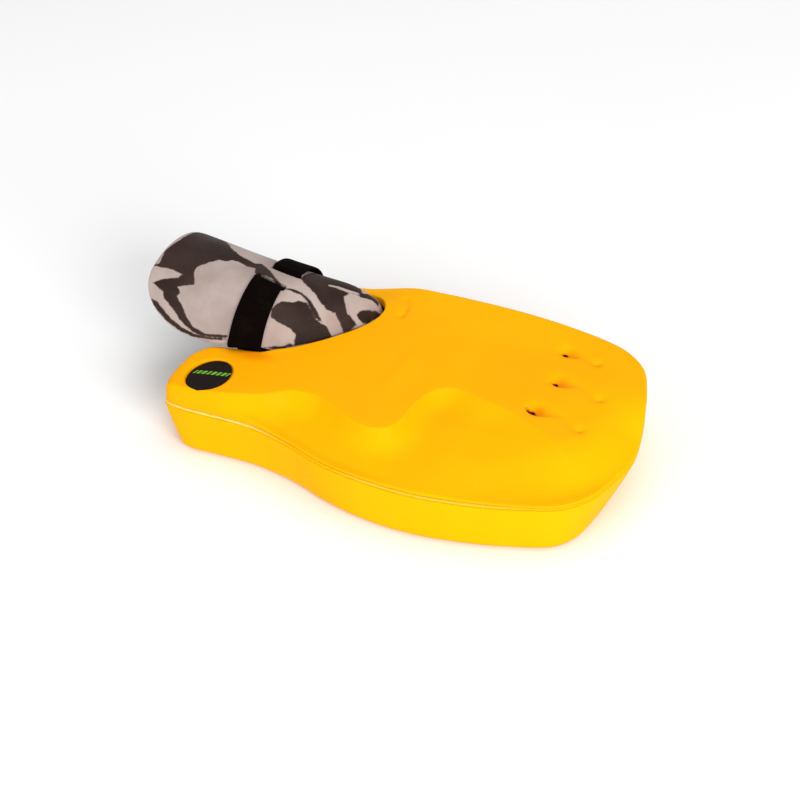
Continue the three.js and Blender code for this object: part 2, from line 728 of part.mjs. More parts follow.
// A rectangular ring of round rod.
function strapRing() {
  const [y0, z0] = INNER_BAR;
  const [y1, z1] = OUTER_BAR;
  const length = Math.hypot(y1 - y0, z1 - z0);
  const corner = 2.4;
  const half = length / 2;
  const corners = [[-1, -1], [1, -1], [1, 1], [-1, 1]];
  const centreLine = corners.flatMap(([sx, sy], i) => Array.from({ length: 5 }, (_, k) => {
    const angle = Math.PI * (1 + i / 2 + k / 8);
    return new THREE.Vector3(
      sx * (RING_HALF - corner) + corner * Math.cos(angle),
      sy * (half - corner) + corner * Math.sin(angle),
      0,
    );
  }));
  const rings = centreLine.map((p, i) => {
    const ahead = centreLine[(i + 1) % centreLine.length].clone();
    ahead.sub(centreLine[(i + centreLine.length - 1) % centreLine.length]).normalize();
    const side = new THREE.Vector3(ahead.y, -ahead.x, 0);
    return Array.from({ length: 10 }, (_, k) => {
      const angle = (2 * Math.PI * k) / 10;
      return p.clone().addScaledVector(side, RING_BAR * Math.cos(angle))
        .add(new THREE.Vector3(0, 0, RING_BAR * Math.sin(angle)));
    });
  });
  return closedLoft(rings).rotateX(Math.atan2(z1 - z0, y1 - y0))
    .translate(RING_X, (y0 + y1) / 2, (z0 + z1) / 2);
}

// Skins rings whose last one joins on to the first.
function closedLoft(rings) {
  const count = rings[0].length;
  const positions = rings.flat().flatMap((p) => [p.x, p.y, p.z]);
  const index = [];
  rings.forEach((_, k) => {
    const here = k * count;
    const next = ((k + 1) % rings.length) * count;
    for (let i = 0; i < count; i++) {
      const j = (i + 1) % count;
      index.push(here + i, here + j, next + j, here + i, next + j, next + i);
    }
  });
  if (enclosedVolume(positions, index) < 0) index.reverse();
  const geometry = new THREE.BufferGeometry();
  geometry.setAttribute("position", new THREE.Float32BufferAttribute(positions, 3));
  geometry.setIndex(index);
  return geometry;
}

// The loop of webbing that holds the ring's outer bar; the strap's end is sewn between its legs.
function ringKeeper() {
  const radius = SLACK + RING_BAR + KEEPER_T / 2;
  const bend = Array.from({ length: 9 }, (_, k) => {
    const angle = Math.PI * (1 - k / 8);
    return fromOuterBar(-radius * Math.sin(angle), radius * Math.cos(angle));
  });
  const path = [fromOuterBar(KEEPER_LEG, -radius), ...bend, fromOuterBar(KEEPER_LEG, radius)];
  const half = STRAP_W / 2;
  return ribbon(() => path, RING_X - half, RING_X + half, KEEPER_T, 1);
}

// The strap's end, folded back under its own run.
function strapTail() {
  const y1 = INNER_BAR[0] - 2.5 - HINGE_GAP;
  const z = INNER_BAR[1] - FOLD;
  const half = STRAP_W / 2;
  return roundedBox(
    RING_X - half, RING_X + half, y1 - TAIL_LENGTH, y1, z - STRAP_T / 2, z + STRAP_T / 2, 1.2,
  );
}

// Hook and loop patches: one on the tail, one on the run above it.
function patch(low, y0, y1) {
  const half = STRAP_W / 2 - 2.5;
  return roundedBox(RING_X - half, RING_X + half, y0, y1, low, low + PATCH_T, 2);
}

// The tape that holds the cuff's tongue to the pocket roof.
function hingeTape() {
  return roundedBox(-50, -37, 41, 73, PALM_ROOF - GAP - 1.4, PALM_ROOF - GAP, 2);
}

const TAIL_TOP = INNER_BAR[1] - FOLD + STRAP_T / 2;
const RUN_UNDER = STRAP_LOW - STRAP_T / 2;

const parts = new THREE.Group();
parts.add(
  piece("base_block", baseBlock(), YELLOW),
  piece("bond_sheet", bondSheet(), 0xf3dc9a),
  piece("top_cover", topCover(), YELLOW),
  piece("badge", badge(), BLACK, 0.5),
  piece("floor_liner", floorLiner(), 0x2a2727, 0.95),
  piece("palm_roof_liner", palmLiner(), 0x2a2727, 0.95),
  piece("finger_roof_liner", fingerLiner(), 0x2a2727, 0.95),
  piece("finger_band_rear", fingerBand(SCREWS, 20, 13), BLACK, 0.9),
  piece("finger_band_front", fingerBand(STUDS, 12, 10), BLACK, 0.9),
  piece("cuff_hinge_tape", hingeTape(), BLACK, 0.95),
  piece("cuff", cuff(), MARBLE, 0.6),
  piece("cuff_liner", cuffLiner(), BLACK, 0.9),
  piece("wrist_strap", strap(), BLACK, 0.95),
  piece("ring_keeper", ringKeeper(), BLACK, 0.95),
  piece("strap_ring", strapRing(), BLACK, 0.4),
  piece("strap_tail", strapTail(), BLACK, 0.95),
  piece("hook_patch", patch(TAIL_TOP + GAP, 15, 44), BLACK, 1),
  piece("loop_patch", patch(RUN_UNDER - GAP - PATCH_T, 4, 50), BLACK, 1),
);
SCREWS.forEach((place, i) => {
  parts.add(piece(`finger_screw_${i + 1}`, screw(place), BLACK, 0.4));
  parts.add(piece(`finger_washer_${i + 1}`, washer(place), BLACK, 0.5));
  parts.add(piece(`finger_screw_nut_${i + 1}`, nut(place), BLACK, 0.4));
});
STUDS.forEach((place, i) => {
  parts.add(piece(`finger_stud_${i + 1}`, stud(place), BLACK, 0.4));
  parts.add(piece(`finger_stud_nut_${i + 1}`, nut(place), BLACK, 0.4));
});

export default parts;
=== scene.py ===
"""Looks of the goalkeeper's hand pad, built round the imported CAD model.

Shapes are worked out in millimetres in the CAD model's frame (+X to the fingertips, +Y to the far
side, +Z up) and stored in metres. The foam bodies and the cuff are sampled distance fields skinned
with a surface net, and the webbing is swept ribbons with woven surfaces.
"""

import math

import bpy
import numpy as np
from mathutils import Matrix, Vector


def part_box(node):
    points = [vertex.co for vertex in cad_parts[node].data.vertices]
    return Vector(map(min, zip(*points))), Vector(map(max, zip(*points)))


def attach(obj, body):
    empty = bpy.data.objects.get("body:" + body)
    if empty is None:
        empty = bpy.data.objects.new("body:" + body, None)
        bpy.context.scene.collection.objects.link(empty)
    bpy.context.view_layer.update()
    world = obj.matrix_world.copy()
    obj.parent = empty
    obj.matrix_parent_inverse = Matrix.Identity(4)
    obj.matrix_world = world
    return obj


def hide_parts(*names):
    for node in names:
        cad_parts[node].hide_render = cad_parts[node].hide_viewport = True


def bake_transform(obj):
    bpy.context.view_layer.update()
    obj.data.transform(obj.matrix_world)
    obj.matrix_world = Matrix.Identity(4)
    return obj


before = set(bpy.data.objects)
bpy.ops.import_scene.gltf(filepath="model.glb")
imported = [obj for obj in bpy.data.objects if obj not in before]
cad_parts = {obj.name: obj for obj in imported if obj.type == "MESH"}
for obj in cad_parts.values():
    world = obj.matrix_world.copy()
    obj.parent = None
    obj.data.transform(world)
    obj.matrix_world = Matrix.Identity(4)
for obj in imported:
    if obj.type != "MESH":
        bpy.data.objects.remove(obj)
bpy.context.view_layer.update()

MM = 0.001

# ---------------------------------------------------------------- sizes

OUTLINE = [
    (177.5, -3), (176, -22), (171, -43), (163.5, -64), (148, -82), (121, -94.5), (93, -104),
    (50, -113), (10, -114), (-28, -109.5), (-62, -99), (-95, -92), (-132, -92.5), (-155, -93.5),
    (-170, -90.5), (-176, -78), (-177.5, -58), (-175.5, -40), (-165.5, -26), (-145, -22),
    (-125, -20.5), (-108, -13), (-92, 3), (-78, 21), (-67, 39), (-61, 57), (-62.5, 71), (-71, 82),
    (-85, 86.5), (-101, 86.5), (-114, 86.8), (-119, 90.5), (-112, 93.6), (-96, 95.5), (-76, 102),
    (-53, 108), (-24, 112.5), (12, 114), (50, 113.5), (84, 110.5), (111.5, 106), (136.5, 97), (154.5, 81),
    (164, 59), (171, 35),
]
BANK = [
    (-190, -87), (-160, -88), (-130, -87), (-108, -82), (-91, -74), (-77, -63), (-57, -60),
    (-41, -66), (-22, -75), (-4, -78), (9, -72), (14, -60), (15, -43), (18, -24), (26, -12),
    (37, -8), (57, -12), (81, -16), (103, -25), (133, -42), (150, -59), (185, -95),
]
FINGER_ROOM = [
    (-4, -4), (30, -13), (80, -17), (122, -23), (148, -16), (153, 14), (146, 44), (132, 72),
    (104, 85), (74, 85), (-4, 81),
]
BASE_TOP, BOND_LOW, BOND_HIGH, COVER_LOW = 37.0, 37.3, 39.1, 39.4
POCKET_FLOOR, PALM_ROOF, FINGER_ROOF = 18.0, 50.0, 44.0
HAND_TOP, SHELF_TOP = 58.5, 41
REAR_RISE, FRONT_RISE, WAIST_INSET = 16.5, 15, 4
BADGE_AT, BADGE_SINK, BADGE_TILT = (-145.8, -65.2), 2.5, 0.1
BADGE_R, BADGE_LONG, BADGE_SHORT, BADGE_TURN = 18.6, 20.4, 17.9, math.radians(105)

PALM_BOX, PALM_CORNER = (-130, 8, -26, 81), 9
THUMB_AT, THUMB_TURN, THUMB_BOX, THUMB_CORNER = (-26, -40), math.radians(-34), (-30, 30, -12, 12), 11

SCREWS = [(96, -6), (99, 34), (92, 73)]
STUDS = [(136, -13), (137, 28), (120, 70)]
LIPS = [2.1, 1.0, 0.0]  # half width of the slit over each screw
SLIT_COS, SLIT_SIN, SLIT_STRETCH, SLIT_BEND, SLIT_FLOOR = 0.94, 0.34, 3, 0.03, 53.0
SCREW_ROOM_R, SCREW_ROOM_LOW, SCREW_ROOM_HIGH = 7.6, 49, 53.4
STUD_ROOM_R, STUD_ROOM_LOW, STUD_ROOM_HIGH = 3.2, 50.5, 52.6
PIN_R, STUD_TOP, PIT_R, PIT_FLOOR = 2.3, 51, 0.7, 52.2
DISH_DEPTH, PIT_DEPTH, PIT_RUN = 3.9, 0.9, 4
GROOVE_DEPTH, GROOVE_RUN, CREASE_DEPTH, CREASE_RUN = 1.2, 4.2, 1.5, 2.6
GROOVES = [
    [(98, -7), (106, -5), (112, -2.5), (119, -3), (125, -8), (131, -12), (136, -13)],
    [(102, 33), (107, 35), (112, 38), (117, 38), (124, 34), (131, 28.5), (137, 28)],
    [(93, 72), (100, 74), (105, 75), (109, 73), (114, 70.5), (120, 70)],
]
CREASE = [(-44, 64), (-44, 74), (-46.5, 82), (-51, 89)]

# x, y, height of the crest, radius of the arch and half width of the cuff, from tongue to tail
CUFF = np.array([
    (-42, 60, 44.5, 90, 17), (-53, 60, 44.8, 60, 16), (-62, 59.5, 50, 32, 15),
    (-71, 57.5, 66, 27, 25), (-88, 47.5, 78.3, 38, 49), (-110, 35.5, 86.5, 48, 62),
    (-134, 24.5, 94.3, 55.7, 64.5), (-160, 25.4, 95.2, 60.9, 72), (-186, 26.3, 96.1, 66, 73),
    (-206, 27, 96.8, 70, 67), (-220, 27.4, 97.3, 72.7, 57), (-228, 27.7, 97.6, 74.3, 45),
    (-231, 27.8, 97.7, 75, 33),
], float)
CUFF_T, LINER_T, LINER_GAP = 4.0, 1.6, 0.6

STRAP_W, STRAP_T, STRAP_X, FAR_SHIFT, FAR_BULGE = 25.0, 2.0, -136.0, 4.5, 2.8
RING_X = STRAP_X + FAR_SHIFT
STRAP_MIDDLE, SLOT_ARC, STRAP_SKEW = -2.3, 9.5, 0.25
RING_BAR, SLACK, KEEPER_T, KEEPER_LEG, TAIL_LENGTH = 1.5, 1.2, 1.6, 10.0, 46.0
OUTER_BAR, INNER_BAR = np.array([73.0, 29.0]), np.array([61.0, 26.0])
FOLD = SLACK + RING_BAR + STRAP_T / 2
STRAP_LOW = INNER_BAR[1] + FOLD

# The marbling's dark and light patches on the cuff, laid out flat: x, then the arc from the crest
# towards the badge
MARBLE_DARK = [
    [(-231, 28.5), (-227, 25), (-229.5, 11), (-227, -8.5), (-228, -34.5), (-229, -47),
     (-211.5, -51), (-187, -22), (-174, -13.5), (-158, -9), (-153, -12), (-142, -6), (-132, 3),
     (-122, 11), (-127, 8.5), (-135.5, 3.5), (-145.5, 2), (-150.5, 3.5), (-153.5, -2.5),
     (-161.5, -1.5), (-169, -4), (-176, -3), (-179, 1), (-184.5, 1.5), (-191, 9), (-195, 14),
     (-197, 18.5), (-196, 23), (-191, 32.5), (-203, 39), (-199, 43), (-200.5, 46.5),
     (-194, 52), (-187.5, 59), (-180, 65), (-169.5, 67), (-150.5, 62), (-150.5, 64),
     (-163.5, 67.5), (-174.5, 69.5), (-185.5, 66.5), (-193, 62.5), (-199, 57.5), (-210, 51.5),
     (-213.5, 46.5), (-219, 44.5), (-224.5, 42.5), (-217.5, 37), (-206.5, 31.5), (-204, 27.5),
     (-213, 26.5)],
    [(-220.5, 55), (-215, 55.5), (-208, 60), (-200, 64.5), (-189.5, 68), (-179, 70),
     (-165, 68.5), (-150, 64.5), (-150, 65.5), (-166, 70.5), (-178.5, 72.5), (-190, 71.5),
     (-201.5, 68), (-210.5, 63.5), (-217, 59.5)],
    [(-119, -5.5), (-119, -14), (-118, -40), (-100, -38), (-85.5, -30), (-79.5, -13.5),
     (-75.5, -5.5), (-83.5, -2.5), (-85, 4), (-82, 10), (-78, 17.5), (-73.5, 19.5),
     (-70.5, 21.5), (-76.5, 33), (-80, 27), (-85, 21), (-90.5, 21), (-95.5, 16.5), (-103, 8.5),
     (-111.5, 1.5)],
    [(-122, 38.5), (-124, 32.5), (-122.5, 27), (-120, 23.5), (-113, 22), (-110.5, 19),
     (-104.5, 19.5), (-99, 25), (-95.5, 30.5), (-91, 32.5), (-87.5, 33.5), (-82.5, 39.5),
     (-88.5, 47), (-104, 55), (-104.5, 46.5), (-109, 42.5), (-116, 41)],
    [(-123, 10.5), (-117.5, 9.5), (-110.5, 11), (-103, 16.5), (-98, 22), (-94, 27),
     (-90, 32), (-95.5, 30), (-99, 25), (-104, 18.5), (-110.5, 13.5), (-118, 11.5), (-122.5, 12)],
    [(-73, 15), (-72, 10.5), (-68.5, 3.5), (-65, -7), (-63.5, -8.5), (-64, 2), (-66, 13),
     (-68.5, 16), (-71, 16)],
    [(-78, -10), (-74.5, -20), (-68.5, -19), (-67, -11), (-71, -9), (-74, -5), (-77, -3)],
    [(-126, 64), (-111.5, 60.5), (-104, 55), (-107, 54), (-109, 56.5), (-114, 59)],
]
MARBLE_LIGHT = [
    [(-99.5, -6), (-93, -7), (-86, -6.5), (-79, -8.5), (-78, -5), (-85.5, -2.5), (-93, -3.5),
     (-98.5, -4)],
]

# Metres from here on: where the cuff would bend, from the pad to where it follows its own body, given to
# the cuff foam but not used to bend it, and the stage
HINGE = ("pad", "cuff", (-0.057, 0.06, 0.048), (-0.074, 0.06, 0.048))
CAMERA_AT, CAMERA_LOOKS_AT = (0.4536, -1.0048, 0.8629), (-0.0137, -0.0026, 0.0297)
LENS_MM, SENSOR_MM = 80.64, 36.0
LAMPS_LOOK_AT = (0, 0, 0.03)
LAMPS = [  # name, place, size, watts
    ("key", (2.3, -1.9, 1.5), 1.6, 78.0),
    ("fill", (-1.0, -2.3, 0.6), 1.6, 15.0),
    ("top", (0.1, 0.4, 3.0), 2.6, 24.0),
]
WORLD_STRENGTH = 0.58
FLOOR_SIZE, FLOOR_DROP = 8, 0.0004

# ---------------------------------------------------------------- fields


def smooth(x, low, high):
    """0 below low, 1 above high and an even slope between them."""
    t = np.clip((x - low) / (high - low), 0, 1)
    return t * t * (3 - 2 * t)


def bell(*offsets):
    """1 in the middle, falling away with offsets that are each given as a share of their run."""
    return np.exp(-sum(t**2 for t in offsets))


def spline(points, steps, closed=False):
    """Centripetal Catmull-Rom curve through points, steps to a span."""
    p = np.array(points, float)
    n = len(p)
    spans = n if closed else n - 1
    at = (lambda i: p[i % n]) if closed else (lambda i: p[min(max(i, 0), n - 1)])
    u = np.linspace(0, 1, steps, endpoint=False)[:, None]
    out = []
    for i in range(spans):
        a, b, c, d = at(i - 1), at(i), at(i + 1), at(i + 2)
        k0, k1, k2 = (max(np.linalg.norm(q - r), 1e-6) ** 0.5 for q, r in ((a, b), (b, c), (c, d)))
        k0 = k1 if k0 < 0.01 else k0
        k2 = k1 if k2 < 0.01 else k2
        m1 = ((b - a) / k0 - (c - a) / (k0 + k1) + (c - b) / k1) * k1
        m2 = ((c - b) / k1 - (d - b) / (k1 + k2) + (d - c) / k2) * k1
        out.append((2 * u**3 - 3 * u**2 + 1) * b + (u**3 - 2 * u**2 + u) * m1
                   + (3 * u**2 - 2 * u**3) * c + (u**3 - u**2) * m2)
    if not closed:
        out.append(p[-1:])
    return np.concatenate(out)


def segments(x, y, line):
    """For each span of a line: squared distance to it, and twice the area to its left."""
    for (ax, ay), (bx, by) in zip(line[:-1], line[1:]):
        ex, ey = bx - ax, by - ay
        t = np.clip(((x - ax) * ex + (y - ay) * ey) / max(ex * ex + ey * ey, 1e-12), 0, 1)
        fx, fy = x - ax - t * ex, y - ay - t * ey
        yield fx * fx + fy * fy, ex * fy - ey * fx, (ax, ay, bx, by)


def ring_distance(x, y, ring):
    """Signed distance from plan points to a closed ring, negative inside."""
    best = np.full(np.broadcast(x, y).shape, np.inf)
    inside = np.zeros(best.shape, bool)
    for d2, _, (ax, ay, bx, by) in segments(x, y, np.vstack([ring, ring[:1]])):
        best = np.minimum(best, d2)
        if ay != by:
            inside ^= ((ay > y) != (by > y)) & (x < (bx - ax) * (y - ay) / (by - ay) + ax)
    return np.where(inside, -1, 1) * np.sqrt(best)


def line_distance(x, y, line):
    """Distance from plan points to an open line, positive on its left."""
    best = np.full(np.broadcast(x, y).shape, np.inf)
    side = np.zeros(best.shape)
    for d2, left, _ in segments(x, y, line):
        nearer = d2 < best
        best = np.where(nearer, d2, best)
        side = np.where(nearer, left, side)
    return np.where(side < 0, -1, 1) * np.sqrt(best)


def box_distance(x, y, x0, x1, y0, y1, corner):
    """Signed distance to a rectangle with rounded corners."""
    dx = np.abs(x - (x0 + x1) / 2) - (x1 - x0) / 2 + corner
    dy = np.abs(y - (y0 + y1) / 2) - (y1 - y0) / 2 + corner
    return np.hypot(np.maximum(dx, 0), np.maximum(dy, 0)) + np.minimum(np.maximum(dx, dy), 0) - corner


def both(a, b, radius):
    """Inside a and b at once, with the edge between them rounded."""
    return np.minimum(np.maximum(a, b), -radius) + np.hypot(
        np.maximum(a + radius, 0), np.maximum(b + radius, 0))


def axis(low, high, step):
    return np.arange(low, high + step / 2, step)


def plan(xs, ys):
    """The two coordinates of every point of a grid."""
    return np.meshgrid(xs, ys, indexing="ij")


def surface_net(values, axes):
    """Skins the zero surface of a sampled field, negative inside: vertices and outward quads."""
    inside = values < 0
    size = np.array(values.shape)
    corners = [(i, j, k) for i in (0, 1) for j in (0, 1) for k in (0, 1)]
    count = np.zeros(size - 1, np.int8)
    for i, j, k in corners:
        count += inside[i:size[0] - 1 + i, j:size[1] - 1 + j, k:size[2] - 1 + k]
    cells = np.argwhere((count > 0) & (count < 8))
    total, hits = np.zeros((len(cells), 3)), np.zeros(len(cells))
    for way in range(3):
        step = np.eye(3, dtype=int)[way]
        for corner in corners:
            if corner[way]:
                continue
            start = cells + corner
            a, b = values[tuple(start.T)], values[tuple((start + step).T)]
            cross = (a < 0) != (b < 0)
            share = np.where(cross, a / np.where(cross, a - b, 1), 0)
            total += (start + share[:, None] * step) * cross[:, None]
            hits += cross
    index = total / hits[:, None]
    vertices = np.stack([np.interp(index[:, i], np.arange(size[i]), axes[i]) for i in range(3)], 1)
    number = np.full(size - 1, -1)
    number[tuple(cells.T)] = np.arange(len(cells))
    quads = []
    for way in range(3):
        u, v = np.eye(3, dtype=int)[(way + 1) % 3], np.eye(3, dtype=int)[(way + 2) % 3]
        first, second = [slice(1, -1)] * 3, [slice(1, -1)] * 3
        first[way], second[way] = slice(0, -1), slice(1, None)
        places = np.argwhere(inside[tuple(first)] != inside[tuple(second)]) + 1
        places[:, way] -= 1
        loop = np.stack([number[tuple((places - i * u - j * v).T)]
                         for i, j in ((1, 1), (0, 1), (0, 0), (1, 0))], 1)
        outward = inside[tuple(places.T)]
        loop[~outward] = loop[~outward, ::-1]
        quads.append(loop)
    return vertices, np.concatenate(quads)


# ---------------------------------------------------------------- materials


def rgb(r, g, b):
    """A colour given as 0-255 display values."""
    c = np.array([r, g, b]) / 255
    return (*np.where(c <= 0.04045, c / 12.92, ((c + 0.055) / 1.055) ** 2.4), 1)


class Surface:
    """A node material in the making."""

    def __init__(self, name, **settings):
        self.material = bpy.data.materials.new(name)
        self.material.use_nodes = True
        self.tree = self.material.node_tree
        self.tree.nodes.clear()
        self.shader = self.node("ShaderNodeBsdfPrincipled")
        out = self.node("ShaderNodeOutputMaterial")
        self.tree.links.new(self.shader.outputs[0], out.inputs[0])
        self.place = self.node("ShaderNodeTexCoord").outputs["Object"]
        self.set(**{"Specular IOR Level": 0.3, **settings})

    def node(self, kind, inputs=None, **settings):
        made = self.tree.nodes.new(kind)
        for key, value in settings.items():
            setattr(made, key, value)
        for key, value in (inputs or {}).items():
            self.feed(made.inputs[key], value)
        return made

    def feed(self, socket, value):
        if isinstance(value, bpy.types.NodeSocket):
            self.tree.links.new(value, socket)
        else:
            socket.default_value = value

    def set(self, **inputs):
        for key, value in inputs.items():
            self.feed(self.shader.inputs[key], value)

    def math(self, kind, a, b=0.0, clamp=False):
        return self.node("ShaderNodeMath", {0: a, 1: b}, operation=kind, use_clamp=clamp).outputs[0]

    def noise(self, scale, detail=3.0, rough=0.5, where=None, distortion=0.0):
        return self.node("ShaderNodeTexNoise", {
            "Vector": where or self.place, "Scale": scale, "Detail": detail, "Roughness": rough,
            "Distortion": distortion}).outputs[0]

    def cells(self, scale, feature="F1", where=None):
        return self.node("ShaderNodeTexVoronoi", {"Vector": where or self.place, "Scale": scale},
                         feature=feature).outputs[0]

    def ramp(self, value, low, high, to_low=0.0, to_high=1.0):
        return self.node("ShaderNodeMapRange", {
            0: value, 1: low, 2: high, 3: to_low, 4: to_high}, interpolation_type="SMOOTHSTEP").outputs[0]

    def mix(self, share, a, b):
        return self.node("ShaderNodeMix", {0: share, 6: a, 7: b}, data_type="RGBA").outputs[2]

    def stretch(self, x, y, z):
        return self.node("ShaderNodeMapping", {0: self.place, 3: (x, y, z)}).outputs[0]

    def attribute(self, name):
        return self.node("ShaderNodeAttribute", attribute_name=name).outputs["Fac"]

    def bump(self, height, distance, strength=1.0, under=None):
        inputs = {"Height": height, "Distance": distance * MM, "Strength": strength}
        if under:
            inputs["Normal"] = under
        return self.node("ShaderNodeBump", inputs).outputs[0]


def foam(name, tint=1.0):
    """Moulded closed-cell foam: a fine skin, soft mould waviness, scuffs, and paler edges that are partly
    worn skin and partly a painted highlight.
    Where the point value of painted shade is high, the foam is painted deep orange, then near black."""
    s = Surface(name, Roughness=0.5)
    broad, middle, fine = s.noise(7, 2), s.noise(45, 4, 0.6), s.noise(900, 2)
    colour = s.mix(s.ramp(broad, 0.35, 0.65), rgb(252, 171 * tint, 0), rgb(255, 177 * tint, 0))
    colour = s.mix(s.ramp(middle, 0.45, 0.8, 0, 0.14), colour, rgb(248, 161 * tint, 0))
    # Paler colour where the surface is sharpest: partly worn skin, partly a painted highlight along the
    # rims
    edge = s.ramp(s.node("ShaderNodeNewGeometry").outputs["Pointiness"], 0.51, 0.58, 0, 0.25)
    colour = s.mix(s.math("MULTIPLY", edge, s.ramp(middle, 0.3, 0.6)), colour, rgb(255, 194, 20))
    # Painted shade: deep orange where the point value is middling, near black where it is high
    painted_shade = s.attribute("painted_shade")
    colour = s.mix(s.ramp(painted_shade, 0.02, 0.36), colour, rgb(232, 112, 6))
    colour = s.mix(s.ramp(painted_shade, 0.4, 0.9), colour, rgb(30, 14, 10))
    specks = s.ramp(s.cells(520), 0.05, 0.22)
    skin = s.math("ADD", s.math("MULTIPLY", fine, 0.5), s.math("MULTIPLY", specks, 0.3))
    scuffs = s.ramp(s.noise(26, 6, 0.7, s.stretch(1, 5, 1)), 0.55, 0.75)
    s.set(**{
        "Base Color": colour,
        "Roughness": s.math("ADD", s.ramp(middle, 0.2, 0.8, 0.46, 0.6), s.math("MULTIPLY", scuffs, 0.1)),
        "Normal": s.bump(skin, 0.10, 0.5, s.bump(s.noise(55, 3), 0.5, 0.5)),
        "Specular IOR Level": 0.035,
    })
    return s.material


def bond():
    """The pale glued sheet that shows in the seam."""
    s = Surface("bond_line", Roughness=0.6)
    streaks = s.noise(120, 4, 0.6, s.stretch(1, 1, 6))
    along = s.node("ShaderNodeSeparateXYZ", {0: s.place}).outputs[0]
    shown = s.math("ADD", s.ramp(along, -0.06, -0.11), s.math("MULTIPLY", s.ramp(along, -0.02, 0.02),
                                                              s.ramp(along, 0.15, 0.08, 0, 0.3)))
    pale = s.mix(s.ramp(streaks, 0.35, 0.7), rgb(255, 214, 112), rgb(253, 198, 66))
    s.set(**{
        "Base Color": s.mix(shown, rgb(254, 180, 0), pale),
        "Specular IOR Level": 0.1,
        "Normal": s.bump(streaks, 0.3, 0.7),
    })
    return s.material


def marbled():
    """Two foams run together: near black in pale grey, with torn edges and fine pores."""
    s = Surface("marbled_foam", Roughness=0.6)
    tear = s.math("MULTIPLY", s.math("SUBTRACT", s.noise(230, 4, 0.65), 0.5), 2.6)
    field = s.math("ADD", s.attribute("marble"), tear)
    dark = s.ramp(field, 0.25, -0.25)
    cloud, fine = s.noise(28, 3), s.noise(420, 3)
    light = s.mix(s.ramp(cloud, 0.35, 0.7), rgb(178, 162, 155), rgb(160, 143, 137))
    black = s.mix(s.ramp(cloud, 0.35, 0.7), rgb(42, 28, 23), rgb(56, 40, 35))
    rim = s.ramp(s.math("ABSOLUTE", field), 0.9, 0.1, 0, 0.3)
    colour = s.mix(rim, s.mix(dark, light, black), rgb(96, 78, 74))
    colour = s.mix(s.ramp(fine, 0.55, 0.8, 0, 0.12), colour, rgb(110, 94, 90))
    pores = s.ramp(s.cells(700), 0.0, 0.25)
    s.set(**{
        "Base Color": colour,
        "Roughness": s.ramp(fine, 0.3, 0.8, 0.5, 0.66),
        "Normal": s.bump(s.math("ADD", pores, fine), 0.1, 0.6, s.bump(s.noise(60, 3), 0.4, 0.5)),
        "Specular IOR Level": 0.12,
    })
    return s.material


def webbing(name, pitch=0.95, colour=(7, 3, 2), thread=(25, 16, 13)):
    """Woven tape. Its UV map is in millimetres: across the tape, then along it."""
    s = Surface(name, Roughness=0.85)
    uv = s.node("ShaderNodeSeparateXYZ", {0: s.node("ShaderNodeUVMap").outputs[0]}).outputs
    turn = 2 * math.pi / pitch
    ribs = s.math("SINE", s.math("MULTIPLY", uv[1], turn))
    warp = s.math("SINE", s.math("ADD", s.math("MULTIPLY", uv[0], turn * 0.9),
                                 s.math("MULTIPLY", ribs, 0.8)))
    weave = s.math("MULTIPLY", s.math("ADD", ribs, 1.0), s.math("ADD", warp, 1.0))
    fuzz = s.noise(1400, 3, 0.7)
    worn = s.ramp(s.noise(60, 4, 0.6), 0.5, 0.75)
    base = s.mix(s.ramp(weave, 0.4, 3.4, 0, 0.6), rgb(*colour), rgb(*thread))
    base = s.mix(s.math("MULTIPLY", worn, 0.2), base, rgb(42, 31, 27))
    s.set(**{
        "Base Color": s.mix(s.math("MULTIPLY", s.ramp(fuzz, 0.6, 0.8), 0.2), base, rgb(60, 46, 40)),
        "Roughness": s.ramp(fuzz, 0.3, 0.7, 0.78, 0.95),
        "Normal": s.bump(fuzz, 0.12, 0.5, s.bump(weave, 0.14, 0.9)),
        "Specular IOR Level": 0.03,
    })
    return s.material


def lining():
    """Knitted lining: rows of small stitches with a little pile."""
    s = Surface("lining_knit", Roughness=0.9)
    rows = s.node("ShaderNodeTexWave", {
        "Vector": s.place, "Scale": 190.0, "Distortion": 2.2, "Detail": 2.0, "Detail Scale": 4.0,
    }, bands_direction="DIAGONAL").outputs["Fac"]
    stitch = s.math("ADD", rows, s.math("MULTIPLY", s.cells(620), 0.8))
    s.set(**{
        "Base Color": s.mix(s.ramp(s.noise(70, 4), 0.3, 0.7), rgb(30, 27, 27), rgb(48, 44, 43)),
        "Roughness": s.ramp(stitch, 0.2, 1.4, 0.8, 0.97),
        "Normal": s.bump(stitch, 0.2, 0.8),
        "Sheen Weight": 0.3, "Specular IOR Level": 0.1,
    })
    return s.material


def pile(name, scale, distance):
    """Touch fastener: a dense field of hooks or loops."""
    s = Surface(name, Roughness=0.9)
    tufts = s.cells(scale)
    s.set(**{
        "Base Color": s.mix(s.ramp(tufts, 0.1, 0.6), rgb(58, 52, 50), rgb(16, 13, 12)),
        "Roughness": s.ramp(tufts, 0.0, 0.6, 0.75, 0.97),
        "Normal": s.bump(tufts, distance, 1.0, s.bump(s.noise(240, 4), 0.3, 0.6)),
        "Sheen Weight": 0.2, "Specular IOR Level": 0.15,
    })
    return s.material


def plastic(name, low=0.28, high=0.45, tint=(1, 1, 1), shine=0.4):
    """Moulded black plastic with a fine grain, handling marks and lighter worn edges."""
    s = Surface(name)
    marks = s.noise(90, 7, 0.75, s.stretch(1, 4, 1))
    edge = s.ramp(s.node("ShaderNodeNewGeometry").outputs["Pointiness"], 0.52, 0.6, 0, 0.5)
    dark, marked, worn = (rgb(*(np.array(c) * tint)) for c in ((21, 18, 18), (36, 32, 31), (74, 68, 66)))
    s.set(**{
        "Base Color": s.mix(edge, s.mix(s.ramp(marks, 0.4, 0.8), dark, marked), worn),
        "Roughness": s.ramp(marks, 0.3, 0.75, low, high),
        "Normal": s.bump(s.noise(1500, 3), 0.04, 0.4),
        "Specular IOR Level": shine,
    })
    return s.material


